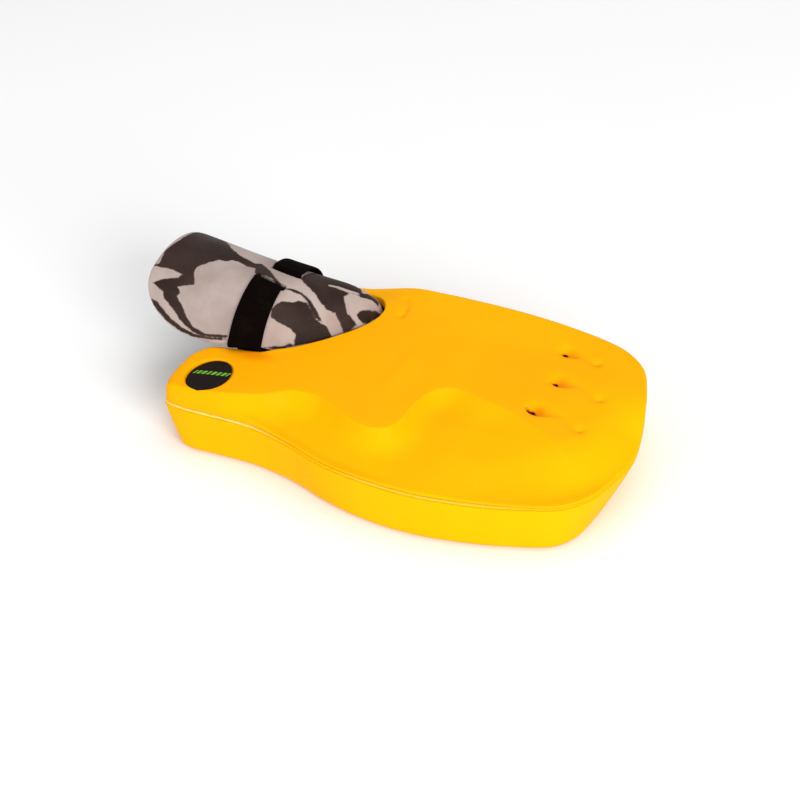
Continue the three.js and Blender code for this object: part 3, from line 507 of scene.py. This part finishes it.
def badge_print():
    """Satin black rubber with a plain printed motif: a row of slanted bars."""
    s = Surface("badge_print")
    at = s.node("ShaderNodeSeparateXYZ", {0: s.node("ShaderNodeUVMap").outputs[0]}).outputs
    along = s.math("SUBTRACT", at[0], s.math("MULTIPLY", at[1], 0.45))
    bar = s.math("ABSOLUTE", s.math("SUBTRACT", s.math("FRACT", s.math("DIVIDE", along, 4.4)), 0.5))
    wide = s.ramp(bar, 0.33, 0.30)
    tall = s.ramp(s.math("ABSOLUTE", s.math("SUBTRACT", at[1], 2.6)), 2.3, 2.1)
    ends = s.ramp(s.math("ABSOLUTE", along), 15.5, 15.3)
    motif = s.math("MULTIPLY", s.math("MULTIPLY", wide, tall), ends)
    grain, wear = s.noise(900, 3), s.noise(150, 5, 0.7)
    ink = s.mix(s.ramp(wear, 0.4, 0.7), rgb(126, 190, 52), rgb(96, 158, 44))
    ground = s.mix(s.ramp(wear, 0.4, 0.8), rgb(16, 8, 7), rgb(28, 19, 18))
    s.set(**{
        "Base Color": s.mix(s.math("MULTIPLY", motif, s.ramp(wear, 0.75, 0.6)), ground, ink),
        "Roughness": s.ramp(wear, 0.3, 0.7, 0.42, 0.6),
        "Normal": s.bump(motif, 0.12, 0.6, s.bump(grain, 0.06, 0.5)),
        "Specular IOR Level": 0.1,
    })
    return s.material


MATERIALS = {
    "foam": foam("yellow_foam"), "base_foam": foam("yellow_foam_base", 1.02), "bond": bond(),
    "marble": marbled(), "strap": webbing("black_webbing"), "band": webbing("elastic_band", 1.1),
    "lining": lining(), "hooks": pile("hook_tape", 900, 0.5), "loops": pile("loop_tape", 650, 0.6),
    "plastic": plastic("black_plastic"), "badge": badge_print(),
    # The fixings' plastic is tinted dark red: painted shade that stands in for the shaded foam seen down
    # the finger holes
    "fixing": plastic("fixing_plastic_painted_shade", 0.5, 0.65, (2.2, 0.5, 0.35), 0.12),
}

# ---------------------------------------------------------------- pieces


def piece(name, vertices, faces, body, material, replaces, uv=None, values=None):
    """A smooth quad mesh made from millimetre vertices, riding on a body; given a tuple, it rides on no
    body and stays where it is made.
    """
    mesh = bpy.data.meshes.new(name)
    mesh.vertices.add(len(vertices))
    mesh.vertices.foreach_set("co", (np.asarray(vertices) * MM).astype(np.float32).ravel())
    faces = np.asarray(faces, np.int32)
    mesh.loops.add(faces.size)
    mesh.loops.foreach_set("vertex_index", faces.ravel())
    mesh.polygons.add(len(faces))
    mesh.polygons.foreach_set("loop_start", np.arange(len(faces), dtype=np.int32) * 4)
    mesh.update(calc_edges=True)
    if uv is not None:
        layer = mesh.uv_layers.new(name="UVMap")
        layer.data.foreach_set("uv", np.asarray(uv, np.float32)[faces.ravel()].ravel())
    for key, value in (values or {}).items():
        made = mesh.attributes.new(key, "FLOAT", "POINT")
        made.data.foreach_set("value", np.asarray(value, np.float32))
    mesh.shade_smooth()
    mesh.materials.append(MATERIALS[material])
    made = bpy.data.objects.new(name, mesh)
    bpy.context.scene.collection.objects.link(made)
    if isinstance(body, tuple):
        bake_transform(made)
    else:
        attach(made, body)
    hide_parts(*replaces)
    return made


# ---------------------------------------------------------------- foam body

outline = spline(OUTLINE, 7, closed=True)
bank = spline(BANK, 6)


def at_opening(x, y):
    """1 along the wrist opening and the thin far wall, 0 elsewhere round the outline."""
    return smooth(-x, 20, 62) * smooth(y, -30, -24) * smooth(x, -170, -160)


def low_corner(x, y):
    """1 at the low corner by the fingertips on the badge side, 0 well away from it."""
    out = np.hypot((x - 60) / 118, (y - 10) / 113)
    return smooth(out, 0.66, 1.04) * smooth(x, 50, 100) * smooth(-y, -50, -5)


def ground(x, y):
    """Height of the cover: low shelf, bank and raised hand shape. Also how far up the bank."""
    run = 8 - 2.5 * smooth(-x, 85, 110) + 9 * smooth(x, 20, 120)
    below = np.maximum(0, (1.6 - line_distance(x, y, bank)) / run)
    up = np.exp(-(below**1.2)) * (1 - low_corner(x, y))
    far_wall = smooth(-x, 40, 88) * smooth(y, 72, 96)
    hand = HAND_TOP - 5 * smooth(-x, 105, 175) - 1.5 * smooth(x, 80, 190) - 5.5 * far_wall
    inland = np.clip((y + 114) / 75, 0, 1) ** 0.8 * (1 - low_corner(x, y))
    shelf = SHELF_TOP + (3 + 6.5 * smooth(x, -10, 60)) * inland
    return shelf + (hand - shelf) * up, up


def relief(x, y, edge):
    """The cover's finer shape, where edge is the distance in from the outline."""
    height, up = ground(x, y)
    shelf = (1 - up) * smooth(-x, -45, -10) * smooth(x, -150, -115)
    height -= bell((edge - 8) / 5.5) * shelf
    height += bell((x + 13) / 9) * smooth(y, -45, -22) * smooth(-y, -34, -12)
    for (sx, sy), (tx, ty), groove in zip(SCREWS, STUDS, GROOVES):
        u, v = x - sx - 1.5, y - sy - 1.0
        dish = bell(u / np.where(u > 0, 9, 5.5), v / np.where(v > 0, 7.5, 5))
        height -= DISH_DEPTH * dish
        height -= PIT_DEPTH * bell(np.hypot(x - tx, y - ty) / PIT_RUN)
        off_line = np.abs(line_distance(x, y, spline(groove, 4)))
        height -= GROOVE_DEPTH * bell(off_line / GROOVE_RUN) * (1 - 0.8 * dish)
    off_line = np.abs(line_distance(x, y, spline(CREASE, 4)))
    height -= CREASE_DEPTH * bell(off_line / CREASE_RUN)
    waves = (np.sin(x / 23 + 1.3 * np.sin(y / 31)) + np.sin(y / 19 + 1.1 * np.sin(x / 37))) * 0.12
    return height + waves, up


def pocket(x, y, z, grow=0.0, roof=True):
    """The hand's room inside the foam: palm, thumb and fingers."""
    palm = box_distance(x, y, *PALM_BOX, PALM_CORNER)
    dx, dy = x - THUMB_AT[0], y - THUMB_AT[1]
    u = dx * math.cos(THUMB_TURN) + dy * math.sin(THUMB_TURN)
    v = -dx * math.sin(THUMB_TURN) + dy * math.cos(THUMB_TURN)
    palm = np.minimum(palm, box_distance(u, v, *THUMB_BOX, THUMB_CORNER)) - grow
    fingers = ring_distance(x, y, spline(FINGER_ROOM, 5, closed=True)) - grow
    if not roof:
        return np.minimum(palm, fingers)
    return np.minimum(both(palm, z - PALM_ROOF, 3.0), both(fingers, z - FINGER_ROOF, 3.0))


def badge_frame():
    """The badge's centre and its three directions: along, across and out of the surface."""
    bx, by = BADGE_AT
    reach = 10

    def level(x, y):
        return float(ground(np.array([x]), np.array([y]))[0][0])

    fall_x = (level(bx + reach, by) - level(bx - reach, by)) / (2 * reach)
    fall_y = (level(bx, by + reach) - level(bx, by - reach)) / (2 * reach)
    normal = np.array([-fall_x - BADGE_TILT, -fall_y, 1.0])
    normal /= np.linalg.norm(normal)
    along = np.cross([0.0, 1.0, 0.0], normal)
    along /= np.linalg.norm(along)
    return np.array([bx, by, level(bx, by)]), along, np.cross(normal, along), normal


def badge_seat(x, y, z):
    """The oval hollow that the badge sits in."""
    centre, *directions = badge_frame()
    u, v, w = ((x - centre[0]) * d[0] + (y - centre[1]) * d[1] + (z - centre[2]) * d[2]
               for d in directions)
    a = (u * math.cos(BADGE_TURN) + v * math.sin(BADGE_TURN)) / BADGE_LONG
    b = (v * math.cos(BADGE_TURN) - u * math.sin(BADGE_TURN)) / BADGE_SHORT
    return np.maximum((np.hypot(a, b) - 1) * BADGE_R - 0.5, -BADGE_SINK - 0.2 - w)


def cylinder(out, radius, low, high, z):
    """An upright cylinder, out being the distance from its axis."""
    return np.maximum(out - radius, np.maximum(low - z, z - high))


def finger_holes(body, x, y, z):
    """Cuts the slits, pits and rooms for the finger fixings, and clears their pins."""
    for (sx, sy), (tx, ty), lip in zip(SCREWS, STUDS, LIPS):
        from_screw, from_stud = np.hypot(x - sx, y - sy), np.hypot(x - tx, y - ty)
        if lip:
            along = SLIT_COS * (x - sx + 1) - SLIT_SIN * (y - sy + 1)
            beside = SLIT_SIN * (x - sx + 1) + SLIT_COS * (y - sy + 1) - SLIT_BEND * along**2
            slit = np.hypot(along / SLIT_STRETCH, beside) - lip
            body = both(body, -np.maximum(slit, SLIT_FLOOR - z), 0.4)
        body = np.maximum(body, -cylinder(from_screw, SCREW_ROOM_R, SCREW_ROOM_LOW, SCREW_ROOM_HIGH, z))
        body = both(body, -np.maximum(from_stud - PIT_R, PIT_FLOOR - z), 0.3)
        body = np.maximum(body, -cylinder(from_stud, STUD_ROOM_R, STUD_ROOM_LOW, STUD_ROOM_HIGH, z))
        body = np.maximum(body, PIN_R - from_screw)
        body = np.maximum(body, np.where(z < STUD_TOP, PIN_R - from_stud, -1))
    return body


def top_cover():
    xs, ys, zs = axis(-180, 180, 1.0), axis(-117, 117, 1.0), axis(38, 61.4, 0.65)
    x, y = plan(xs, ys)
    side = ring_distance(x, y, outline)
    height, up = relief(x, y, -side)
    slope = np.hypot(*np.gradient(height, 1.0))
    sharp = at_opening(x, y) * smooth(x, -124, -110)
    radius = (1.0 + (3.2 + 2.6 * smooth(-x, 60, 110)) * up * (1 - sharp))[..., None]
    flush = smooth(x, 95, 135)
    z = zs[None, None, :]
    x, y = x[..., None], y[..., None]
    inset = (side + 1.3 - 1.1 * flush)[..., None]
    body = both((z - height[..., None]) / np.sqrt(1 + slope**2)[..., None], inset, radius)
    body = both(body, COVER_LOW - z, (0.6 - 0.4 * flush)[..., None])
    body = both(body, -pocket(x, y, z), 1.0 + 1.4 * smooth(x, -90, -60))
    body = both(body, -badge_seat(x, y, z), 1.1)
    body = finger_holes(body, x, y, z)
    vertices, faces = surface_net(body, (xs, ys, zs))
    return piece("cover_foam", vertices, faces, "pad", "foam", ["top_cover"],
                 values={"painted_shade": cover_painted_shade(vertices)})


def opening_wall(x, y, inset):
    """1 on the foam's wall round the inner end of the wrist opening, where the foam is painted in shade.
    """
    wall = np.zeros(len(x))
    near = (x > -100) & (x < -50) & (y < 90)
    x, y = x[near], y[near]
    edge = np.abs(ring_distance(x, y, outline) + inset)
    wall[near] = smooth(-edge, -2, -0.8) * at_opening(x, y) * smooth(x, -100, -78)
    return wall


def cover_painted_shade(vertices):
    """Painted shade on the cover: deep orange in the finger dimples, a painted shadow beside the strap and
    near black down the walls.
    """
    x, y, z = vertices.T
    painted_shade = np.zeros(len(x))
    # Painted shade: deep orange in each finger dimple
    for (sx, sy), share in zip(SCREWS, (1.0, 0.9, 0.75)):
        painted_shade += 0.24 * share * bell((x - sx - 4) / 7.5, (y - sy - 2) / 6.5)
    # Painted shadow where the strap meets the foam
    painted_shade += 0.22 * bell((x + 126) / 22, (y + 31) / 9)
    # Painted shade: near black down the pocket walls and the inner end of the wrist opening, below the top
    wall = np.maximum(smooth(-np.abs(pocket(x, y, z)), -1.6, -0.5), opening_wall(x, y, 1.3))
    return np.clip(np.maximum(painted_shade, wall * smooth(-z, -54, -46)), 0, 1)


def base_block():
    """The lower block. Both its ends and its waist draw in towards the foot."""
    xs, ys, zs = axis(-182, 182, 1.3), axis(-118, 118, 1.3), axis(-2.5, 39, 1.25)
    x, y = plan(xs, ys)
    table = ring_distance(x, y, outline)
    pinch = WAIST_INSET * bell((x + 45) / 42) * (1 - at_opening(x, y))
    body = np.empty((len(xs), len(ys), len(zs)))
    rear, front = np.maximum(0, (-118 - xs) / 60), np.maximum(0, (xs - 120) / 58)
    for k, z in enumerate(zs):
        drop = np.clip(1 - z / BASE_TOP, 0, 1.05)
        moved = xs + drop**1.2 * (REAR_RISE * rear**1.5 - FRONT_RISE * front**3)
        source = np.interp(np.interp(xs, moved, xs), xs, np.arange(len(xs)))
        low = np.minimum(source.astype(int), len(xs) - 2)
        share = (source - low)[:, None]
        body[..., k] = table[low] * (1 - share) + table[low + 1] * share + pinch * drop**1.5
    z = zs[None, None, :]
    body = both(body, -z, (1.2 + 4.3 * (1 - at_opening(x, y)))[..., None])
    body = both(body, z - BASE_TOP, 0.7)
    room = np.maximum(pocket(x, y, 0, roof=False)[..., None], POCKET_FLOOR - z)
    body = both(body, -room, 1.0)
    vertices, faces = surface_net(body, (xs, ys, zs))
    vertices[:, 2] = np.maximum(vertices[:, 2], 0)
    x, y, z = vertices.T
    # Painted shade: near black on the pocket's walls in the base and on the wall at the inner end of the
    # wrist opening
    inside = smooth(-np.abs(pocket(x, y, 0, roof=False)), -1.6, -0.5) * smooth(z, 8, 14)
    return piece("base_foam", vertices, faces, "pad", "base_foam", ["base_block"],
                 values={"painted_shade": np.maximum(inside, opening_wall(x, y, 0))})


def bond_sheet():
    xs, ys, zs = axis(-180, 180, 1.25), axis(-117, 117, 1.25), axis(36.4, 40, 0.45)
    x, y = plan(xs, ys)
    z = zs[None, None, :]
    middle, half = (BOND_LOW + BOND_HIGH) / 2, (BOND_HIGH - BOND_LOW) / 2
    body = both(np.abs(z - middle) - half, (ring_distance(x, y, outline) + 0.3)[..., None], 0.8)
    body = both(body, -pocket(x, y, 0, 0.4, roof=False)[..., None], 0.4)
    vertices, faces = surface_net(body, (xs, ys, zs))
    return piece("bond_line", vertices, faces, "pad", "bond", ["bond_sheet"])


def badge():
    """A shallow oval dome with a rolled rim."""
    centre, along, across, normal = badge_frame()
    rings = [(0.02, 1.75), (0.25, 1.72), (0.5, 1.66), (0.75, 1.58), (0.86, 1.53), (0.9, 1.62),
             (0.95, 1.66), (0.985, 1.5), (1.0, 1.2), (1.0, 0.4), (0.985, 0.12), (0.95, 0.0),
             (0.5, 0.0), (0.02, 0.0)]
    count = 96
    angle = np.linspace(0, 2 * math.pi, count, endpoint=False)
    vertices, uv = [], []
    for share, height in rings:
        a, b = BADGE_LONG * share * np.cos(angle), BADGE_SHORT * share * np.sin(angle)
        u = a * math.cos(BADGE_TURN) - b * math.sin(BADGE_TURN)
        v = a * math.sin(BADGE_TURN) + b * math.cos(BADGE_TURN)
        vertices.append(centre + np.outer(u, along) + np.outer(v, across) + (height - BADGE_SINK) * normal)
        uv.append(np.stack([u, v], 1))
    return piece("badge_disc", np.concatenate(vertices), ring_faces(len(rings), count), "pad",
                 "badge", ["badge"], uv=np.concatenate(uv))


def ring_faces(rings, count):
    """Quads between stacked rings of count points, with both end rings closed."""
    i, j = (g.ravel() for g in plan(np.arange(rings - 1), np.arange(count)))
    ahead = (j + 1) % count
    faces = np.stack([(i + 1) * count + j, (i + 1) * count + ahead, i * count + ahead, i * count + j], 1)
    half = count // 2
    for ring, flip in ((0, False), (rings - 1, True)):
        k = np.arange(half - 1)
        cap = ring * count + np.stack([k, k + 1, count - k - 2, count - k - 1], 1)
        faces = np.vstack([faces, cap[:, ::-1] if flip else cap])
    return faces


# ---------------------------------------------------------------- liners


def sheet(name, plan_distance, x0, x1, y0, y1, low, high, replaces, step=2.0, quilt=0.0, holes=()):
    """A soft ply with rounded edges; quilt sinks rows of stitching into it."""
    xs, ys, zs = axis(x0 - 4, x1 + 4, step), axis(y0 - 4, y1 + 4, step), axis(low - 1, high + 1, 0.4)
    x, y = plan(xs, ys)
    rows = np.abs(np.sin(x / 14)) * np.abs(np.sin((y + 0.35 * x) / 16))
    thin = quilt * bell(rows / 0.16)
    z = zs[None, None, :]
    middle, half = (low + high) / 2, (high - low) / 2
    body = both(np.abs(z - middle) - (half - thin)[..., None], plan_distance(x, y)[..., None], 0.6)
    for hx, hy in holes:
        body = np.maximum(body, (2.4 - np.hypot(x - hx, y - hy))[..., None])
    vertices, faces = surface_net(body, (xs, ys, zs))
    return piece(name, vertices, faces, "pad", "lining", replaces)


def liners():
    fingers = spline(FINGER_ROOM, 5, closed=True)

    def floor(x, y):
        return np.maximum(pocket(x, y, 0, -1.2, roof=False), box_distance(x, y, -58, 146, -80, 80, 20))

    def finger_roof(x, y):
        return np.maximum(ring_distance(x, y, fingers) + 2.2, 75 - x)

    sheet("floor_lining", floor, -60, 150, -70, 86, 18.3, 19.9, ["floor_liner"], quilt=0.45)
    sheet("palm_lining", lambda x, y: box_distance(x, y, -36, -4, -24, 79, 8), -36, -4, -24, 79,
          48.1, 49.7, ["palm_roof_liner"], quilt=0.4)
    sheet("finger_lining", finger_roof, 70, 156, -30, 90, 42.1, 43.7, ["finger_roof_liner"],
          quilt=0.4, holes=SCREWS + STUDS)


# ---------------------------------------------------------------- cuff


def cuff_sections(t):
    """The rows of CUFF joined by a smooth curve, sampled at shares t of its length."""
    place = np.clip(t, 0, 1) * (len(CUFF) - 1)
    k = np.minimum(place.astype(int), len(CUFF) - 2)
    f = (place - k)[:, None]
    a, b, c, d = (CUFF[np.clip(k + i, 0, len(CUFF) - 1)] for i in (-1, 0, 1, 2))
    return b + 0.5 * f * (c - a + f * (2 * a - 5 * b + 4 * c - d + f * (3 * (b - c) + d - a)))


SECTIONS = cuff_sections(np.linspace(0, 1, 1201))


def section_at(x):
    """y, crest height, arch radius and half width of the cuff at each x."""
    return [np.interp(-np.asarray(x, float), -SECTIONS[:, 0], SECTIONS[:, i]) for i in (1, 2, 3, 4)]


def on_arch(x, arc, depth):
    """Places points given by x, arc round the crest and depth below the cuff's outer face."""
    y, z, r, _ = section_at(x)
    return np.stack([np.broadcast_to(x, arc.shape), y - (r - depth) * np.sin(arc / r),
                     z - r + (r - depth) * np.cos(arc / r)], -1)


def marble_field(x, arc):
    """Signed distance to the marbling's dark patches, on the far flank drawn by a warped wave."""
    field = np.full(x.shape, 40.0)
    for patch in MARBLE_DARK:
        field = np.minimum(field, ring_distance(x, arc, np.array(patch, float)))
    for patch in MARBLE_LIGHT:
        field = np.maximum(field, -ring_distance(x, arc, np.array(patch, float)))
    warp = arc / 11 + 1.9 * np.sin(x / 21 + 0.8 * np.sin(arc / 9))
    swirl = 7 * np.sin(warp + 1.2 * np.sin(x / 13 - arc / 17)) - 1
    _, _, r, _ = section_at(x)
    return field + (swirl - field) * smooth(-arc / r, 0.66, 0.78)


def cuff_sheet(name, outer, inner, trim, x_limits, step, body, material, replaces):
    """One ply of the cuff between two depths, with the strap's two slots cut through it."""
    xs, arcs = axis(-234, -39, step), axis(-77, 77, step)
    depths = axis(outer - 1, inner + 1, 0.5)
    x, arc = plan(xs, arcs)
    rim = np.vstack([SECTIONS[:, [0, 4]], SECTIONS[::-1, [0, 4]] * [1, -1]])
    side = np.maximum(ring_distance(x, arc, rim) + trim, np.maximum(x_limits[0] - x, x - x_limits[1]))
    depth = depths[None, None, :]
    body_field = both(side[..., None], np.abs(depth - (outer + inner) / 2) - (inner - outer) / 2,
                      min(1.4, (inner - outer) / 2 - 0.1))
    for slot_x, way in ((STRAP_X, 1), (RING_X, -1)):
        u = x - slot_x
        v = arc - (STRAP_MIDDLE + way * SLOT_ARC + STRAP_SKEW * u)
        hole = box_distance(u, v, -13.6, 13.6, -3.3, 3.3, 2.0)
        body_field = both(body_field, -hole[..., None], 0.6)
    vertices, faces = surface_net(body_field, (xs, arcs, depths))
    x, arc, depth = vertices.T
    ripple = 0.25 * np.sin(x / 15 + 1.1 * np.sin(arc / 12)) * smooth(-x, 70, 90)
    return piece(name, on_arch(x, arc, depth + ripple), faces, body, material, replaces,
                 values={"marble": marble_field(x, arc + 0.25 * depth)})


# ---------------------------------------------------------------- webbing


def ribbon(name, path_at, x0, x1, thickness, body, material, replaces, columns=24, steps=5):
    """A tape with rounded edges. path_at(x) gives its centre line as rows of y, z, shift along x."""
    even = np.linspace(0, 1, columns + 1)
    shares = 0.5 * (0.5 - 0.5 * np.cos(math.pi * even)) + 0.5 * even
    lines = [spline(path_at(x0 + (x1 - x0) * share), steps) for share in shares]
    middle = lines[columns // 2]
    along = np.concatenate([[0], np.cumsum(np.linalg.norm(np.diff(middle[:, :2], axis=0), axis=1))])
    rows = len(middle)
    halves = thickness / 2 * np.sqrt(np.clip(1 - np.abs(2 * shares - 1) ** 14, 0.0, 1))
    top, under = [], []
    for share, half, line in zip(shares, halves, lines):
        tangent = np.gradient(line[:, :2], axis=0)
        tangent /= np.linalg.norm(tangent, axis=1)[:, None]
        normal = np.stack([-tangent[:, 1], tangent[:, 0]], 1)
        x = x0 + (x1 - x0) * share + line[:, 2]
        for side, store in ((half, top), (-half, under)):
            yz = line[:, :2] + side * normal
            store.append(np.stack([x, yz[:, 0], yz[:, 1]], 1))
    ring = top + under[-2:0:-1]
    across = np.concatenate([shares, shares[-2:0:-1]]) * (x1 - x0)
    count = len(ring)
    vertices = np.stack(ring, 1).reshape(-1, 3)
    uv = np.stack([np.tile(across, rows), np.repeat(along, count)], 1)
    i, j = (g.ravel() for g in plan(np.arange(rows - 1), np.arange(count)))
    ahead = (j + 1) % count
    faces = np.stack([i * count + j, (i + 1) * count + j, (i + 1) * count + ahead, i * count + ahead], 1)
    for row, flip in ((0, False), (rows - 1, True)):
        k = np.arange(1, columns - 1)
        cap = row * count + np.stack([k, k + 1, count - k - 1, count - k], 1)
        faces = np.vstack([faces, cap[:, ::-1] if flip else cap])
    volume = np.einsum("ij,ij->", vertices[faces[:, 0]], np.cross(
        vertices[faces[:, 1]] - vertices[faces[:, 0]], vertices[faces[:, 2]] - vertices[faces[:, 0]]))
    if volume < 0:
        faces = faces[:, ::-1]
    return piece(name, vertices, faces, body, material, replaces, uv=uv)


AWAY = np.array([6.5, 17.0]) / math.hypot(6.5, 17.0)


def from_outer_bar(along, across):
    """A point (y, z) measured from the ring's outer bar along the strap and square to it."""
    return OUTER_BAR + along * AWAY + across * np.array([AWAY[1], -AWAY[0]])


def arc_path(centre, radius, start, end, steps):
    """Points round a centre, with the angles in degrees."""
    angles = np.radians(np.linspace(start, end, steps + 1))
    return [(centre[0] + radius * math.cos(a), centre[1] + radius * math.sin(a)) for a in angles]


def strap_path(x):
    """The strap's centre line: ring, far flank, far slot, under the crest, near slot, near flank,
    under the wrist and round the ring's inner bar."""
    out = -(STRAP_T / 2 + 0.35)
    under = CUFF_T + LINER_GAP + LINER_T + STRAP_T / 2 + 0.9
    slot_x = {1: STRAP_X, -1: RING_X}

    def slot_arc(side):
        return STRAP_MIDDLE + side * SLOT_ARC + STRAP_SKEW * (x - STRAP_X)

    def at(arc, depth):
        share = min(max((STRAP_MIDDLE + SLOT_ARC - arc) / (2 * SLOT_ARC), 0), 1)
        p = on_arch(x + FAR_SHIFT * share, np.array(float(arc)), depth)
        return p[1], p[2], FAR_SHIFT * share

    def flank(side):
        edge = side * (section_at(slot_x[side] + x - STRAP_X)[3] + 0.6)
        start = slot_arc(side) + side * 5
        bulge = FAR_BULGE if side < 0 else 0
        shares = [k / 9 for k in range(10)]
        return [at(start + (edge - start) * f, out - bulge * math.sin(math.pi * f)) for f in shares]

    def through(side):
        steps = [(2.6, out), (0.8, 0.8), (-0.8, under - 1.6), (-3, under)]
        return [at(slot_arc(side) + side * beyond, depth) for beyond, depth in steps]

    half = section_at(x)[3]
    round_edge = [at(half + beyond, depth) for beyond, depth in ((2.1, 2.4), (2.4, 4.8), (2, 9))]
    turn = [(-15.6, 46), (-15.4, STRAP_LOW + 7), (-13, STRAP_LOW + 1.8)]
    turn += [(y, STRAP_LOW) for y in (-8, 8, 24, 40)]
    turn = [(y, z, FAR_SHIFT * min(max((y + 8) / 48, 0), 1)) for y, z in turn]
    far = [(*from_outer_bar(3.4, 0), FAR_SHIFT), (*from_outer_bar(12, 0), FAR_SHIFT), (80, 50, FAR_SHIFT)]
    fold = arc_path(INNER_BAR, FOLD, 90, -90, 10) + [(INNER_BAR[0] - 2.5, INNER_BAR[1] - FOLD)]
    fold = [(y, z, FAR_SHIFT) for y, z in fold]
    return (far + flank(-1)[::-1] + through(-1) + [at(STRAP_MIDDLE, under)] + through(1)[::-1]
            + flank(1) + round_edge + turn + fold)


def fitted_tape(name, node, body, material, rows):
    """A flat tape that fills a CAD node's box."""
    low, high = (np.array(corner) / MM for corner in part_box(node))
    z = (low[2] + high[2]) / 2
    line = [(y, z, 0) for y in np.linspace(low[1], high[1], rows)]
    ribbon(name, lambda x: line, low[0], high[0], high[2] - low[2], body, material, [node])


def straps():
    half = STRAP_W / 2
    ribbon("strap_webbing", strap_path, STRAP_X - half, STRAP_X + half, STRAP_T, "cuff",
           "strap", ["wrist_strap"])

    radius = SLACK + RING_BAR + KEEPER_T / 2
    bend = [from_outer_bar(-radius * math.sin(a), radius * math.cos(a))
            for a in np.linspace(math.pi, 0, 9)]
    legs = [from_outer_bar(KEEPER_LEG, side) for side in (-radius, radius)]
    keeper = [(*p, 0) for p in [legs[0], *bend, legs[1]]]
    ribbon("keeper_webbing", lambda x: keeper, RING_X - half, RING_X + half, KEEPER_T, "cuff",
           "strap", ["ring_keeper"])

    start = INNER_BAR[0] - 3.0
    level = INNER_BAR[1] - FOLD
    tail = [(start - TAIL_LENGTH * k / 10, level, 0) for k in range(11)]
    ribbon("tail_webbing", lambda x: tail, RING_X - half, RING_X + half, STRAP_T, "tail",
           "strap", ["strap_tail"])

    fitted_tape("hook_pile", "hook_patch", "tail", "hooks", 12)
    fitted_tape("loop_pile", "loop_patch", "cuff", "loops", 12)
    finger_band("band_rear", "finger_band_rear", SCREWS, 20, 13)
    finger_band("band_front", "finger_band_front", STUDS, 12, 10)
    fitted_tape("hinge_webbing", "cuff_hinge_tape", "pad", "band", 14)


def finger_band(name, node, pins, width, sag):
    """An elastic band that hangs in loops between its pins."""
    top, flat, thick = 41.8, 5.2, 1.6
    path = []
    for i, (x, y) in enumerate(pins):
        path += [(y - flat, top - thick / 2, x), (y, top - thick / 2, x), (y + flat, top - thick / 2, x)]
        if i + 1 < len(pins):
            nx, ny = pins[i + 1]
            for f in np.arange(1, 8) / 8:
                path.append((y + flat + (ny - y - 2 * flat) * f,
                             top - thick / 2 - sag * math.sin(math.pi * f), x + (nx - x) * f))
    ribbon(name, lambda x: path, -width / 2, width / 2, thick, "pad", "band", [node],
           columns=12, steps=4)


# ---------------------------------------------------------------- fixings


def finish_node(name, material, bevel=0.0, rounds=0):
    """Gives a CAD node its material, softened edges and a finer surface."""
    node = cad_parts[name]
    node.data.materials.clear()
    node.data.materials.append(MATERIALS[material])
    if bevel:
        made = node.modifiers.new("edges", "BEVEL")
        made.width, made.segments, made.limit_method = bevel * MM, 3, "ANGLE"
        made.angle_limit = math.radians(35)
    if rounds:
        made = node.modifiers.new("round", "SUBSURF")
        made.levels = made.render_levels = rounds
    for polygon in node.data.polygons:
        polygon.use_smooth = True


def fixings():
    finish_node("strap_ring", "plastic", rounds=2)
    for i in (1, 2, 3):
        for name in ("finger_screw_", "finger_washer_", "finger_screw_nut_", "finger_stud_",
                     "finger_stud_nut_"):
            finish_node(f"{name}{i}", "fixing", bevel=0.25)


# ---------------------------------------------------------------- stage


def aim(thing, place, look_at):
    """Puts a camera or lamp at a place, pointed at another."""
    thing.location = place
    thing.rotation_mode = "QUATERNION"
    thing.rotation_quaternion = (Vector(look_at) - thing.location).to_track_quat("-Z", "Y")
    bpy.context.scene.collection.objects.link(thing)


def paper_floor():
    bpy.ops.mesh.primitive_plane_add(size=FLOOR_SIZE, location=(0, 0, -FLOOR_DROP))
    floor = bpy.context.object
    floor.name = "floor"
    s = Surface("floor_paper", Roughness=0.9)
    s.set(**{
        "Base Color": s.mix(s.noise(3, 2), rgb(252, 252, 252), rgb(248, 248, 248)),
        "Normal": s.bump(s.noise(400, 3), 0.05, 0.2),
        "Specular IOR Level": 0.0,
    })
    floor.data.materials.append(s.material)


def studio():
    world = bpy.data.worlds.new("studio")
    world.use_nodes = True
    background = world.node_tree.nodes["Background"]
    background.inputs["Color"].default_value = (1, 1, 1, 1)
    background.inputs["Strength"].default_value = WORLD_STRENGTH
    bpy.context.scene.world = world
    for name, place, size, watts in LAMPS:
        light = bpy.data.lights.new(name, "AREA")
        light.size, light.energy = size, watts
        aim(bpy.data.objects.new(name, light), place, LAMPS_LOOK_AT)


def photo_camera():
    camera = bpy.data.objects.new("camera", bpy.data.cameras.new("camera"))
    camera.data.lens, camera.data.sensor_width = LENS_MM, SENSOR_MM
    aim(camera, CAMERA_AT, CAMERA_LOOKS_AT)
    bpy.context.scene.camera = camera
    bpy.context.scene.view_settings.view_transform = "Standard"


top_cover()
base_block()
bond_sheet()
badge()
liners()
cuff_sheet("cuff_foam", 0, CUFF_T, 0, (-232, -40), 1.0, HINGE, "marble", ["cuff"])
cuff_sheet("cuff_lining", CUFF_T + LINER_GAP, CUFF_T + LINER_GAP + LINER_T, 0.6, (-231, -77), 1.5,
           "cuff", "lining", ["cuff_liner"])
straps()
fixings()
paper_floor()
studio()
photo_camera()
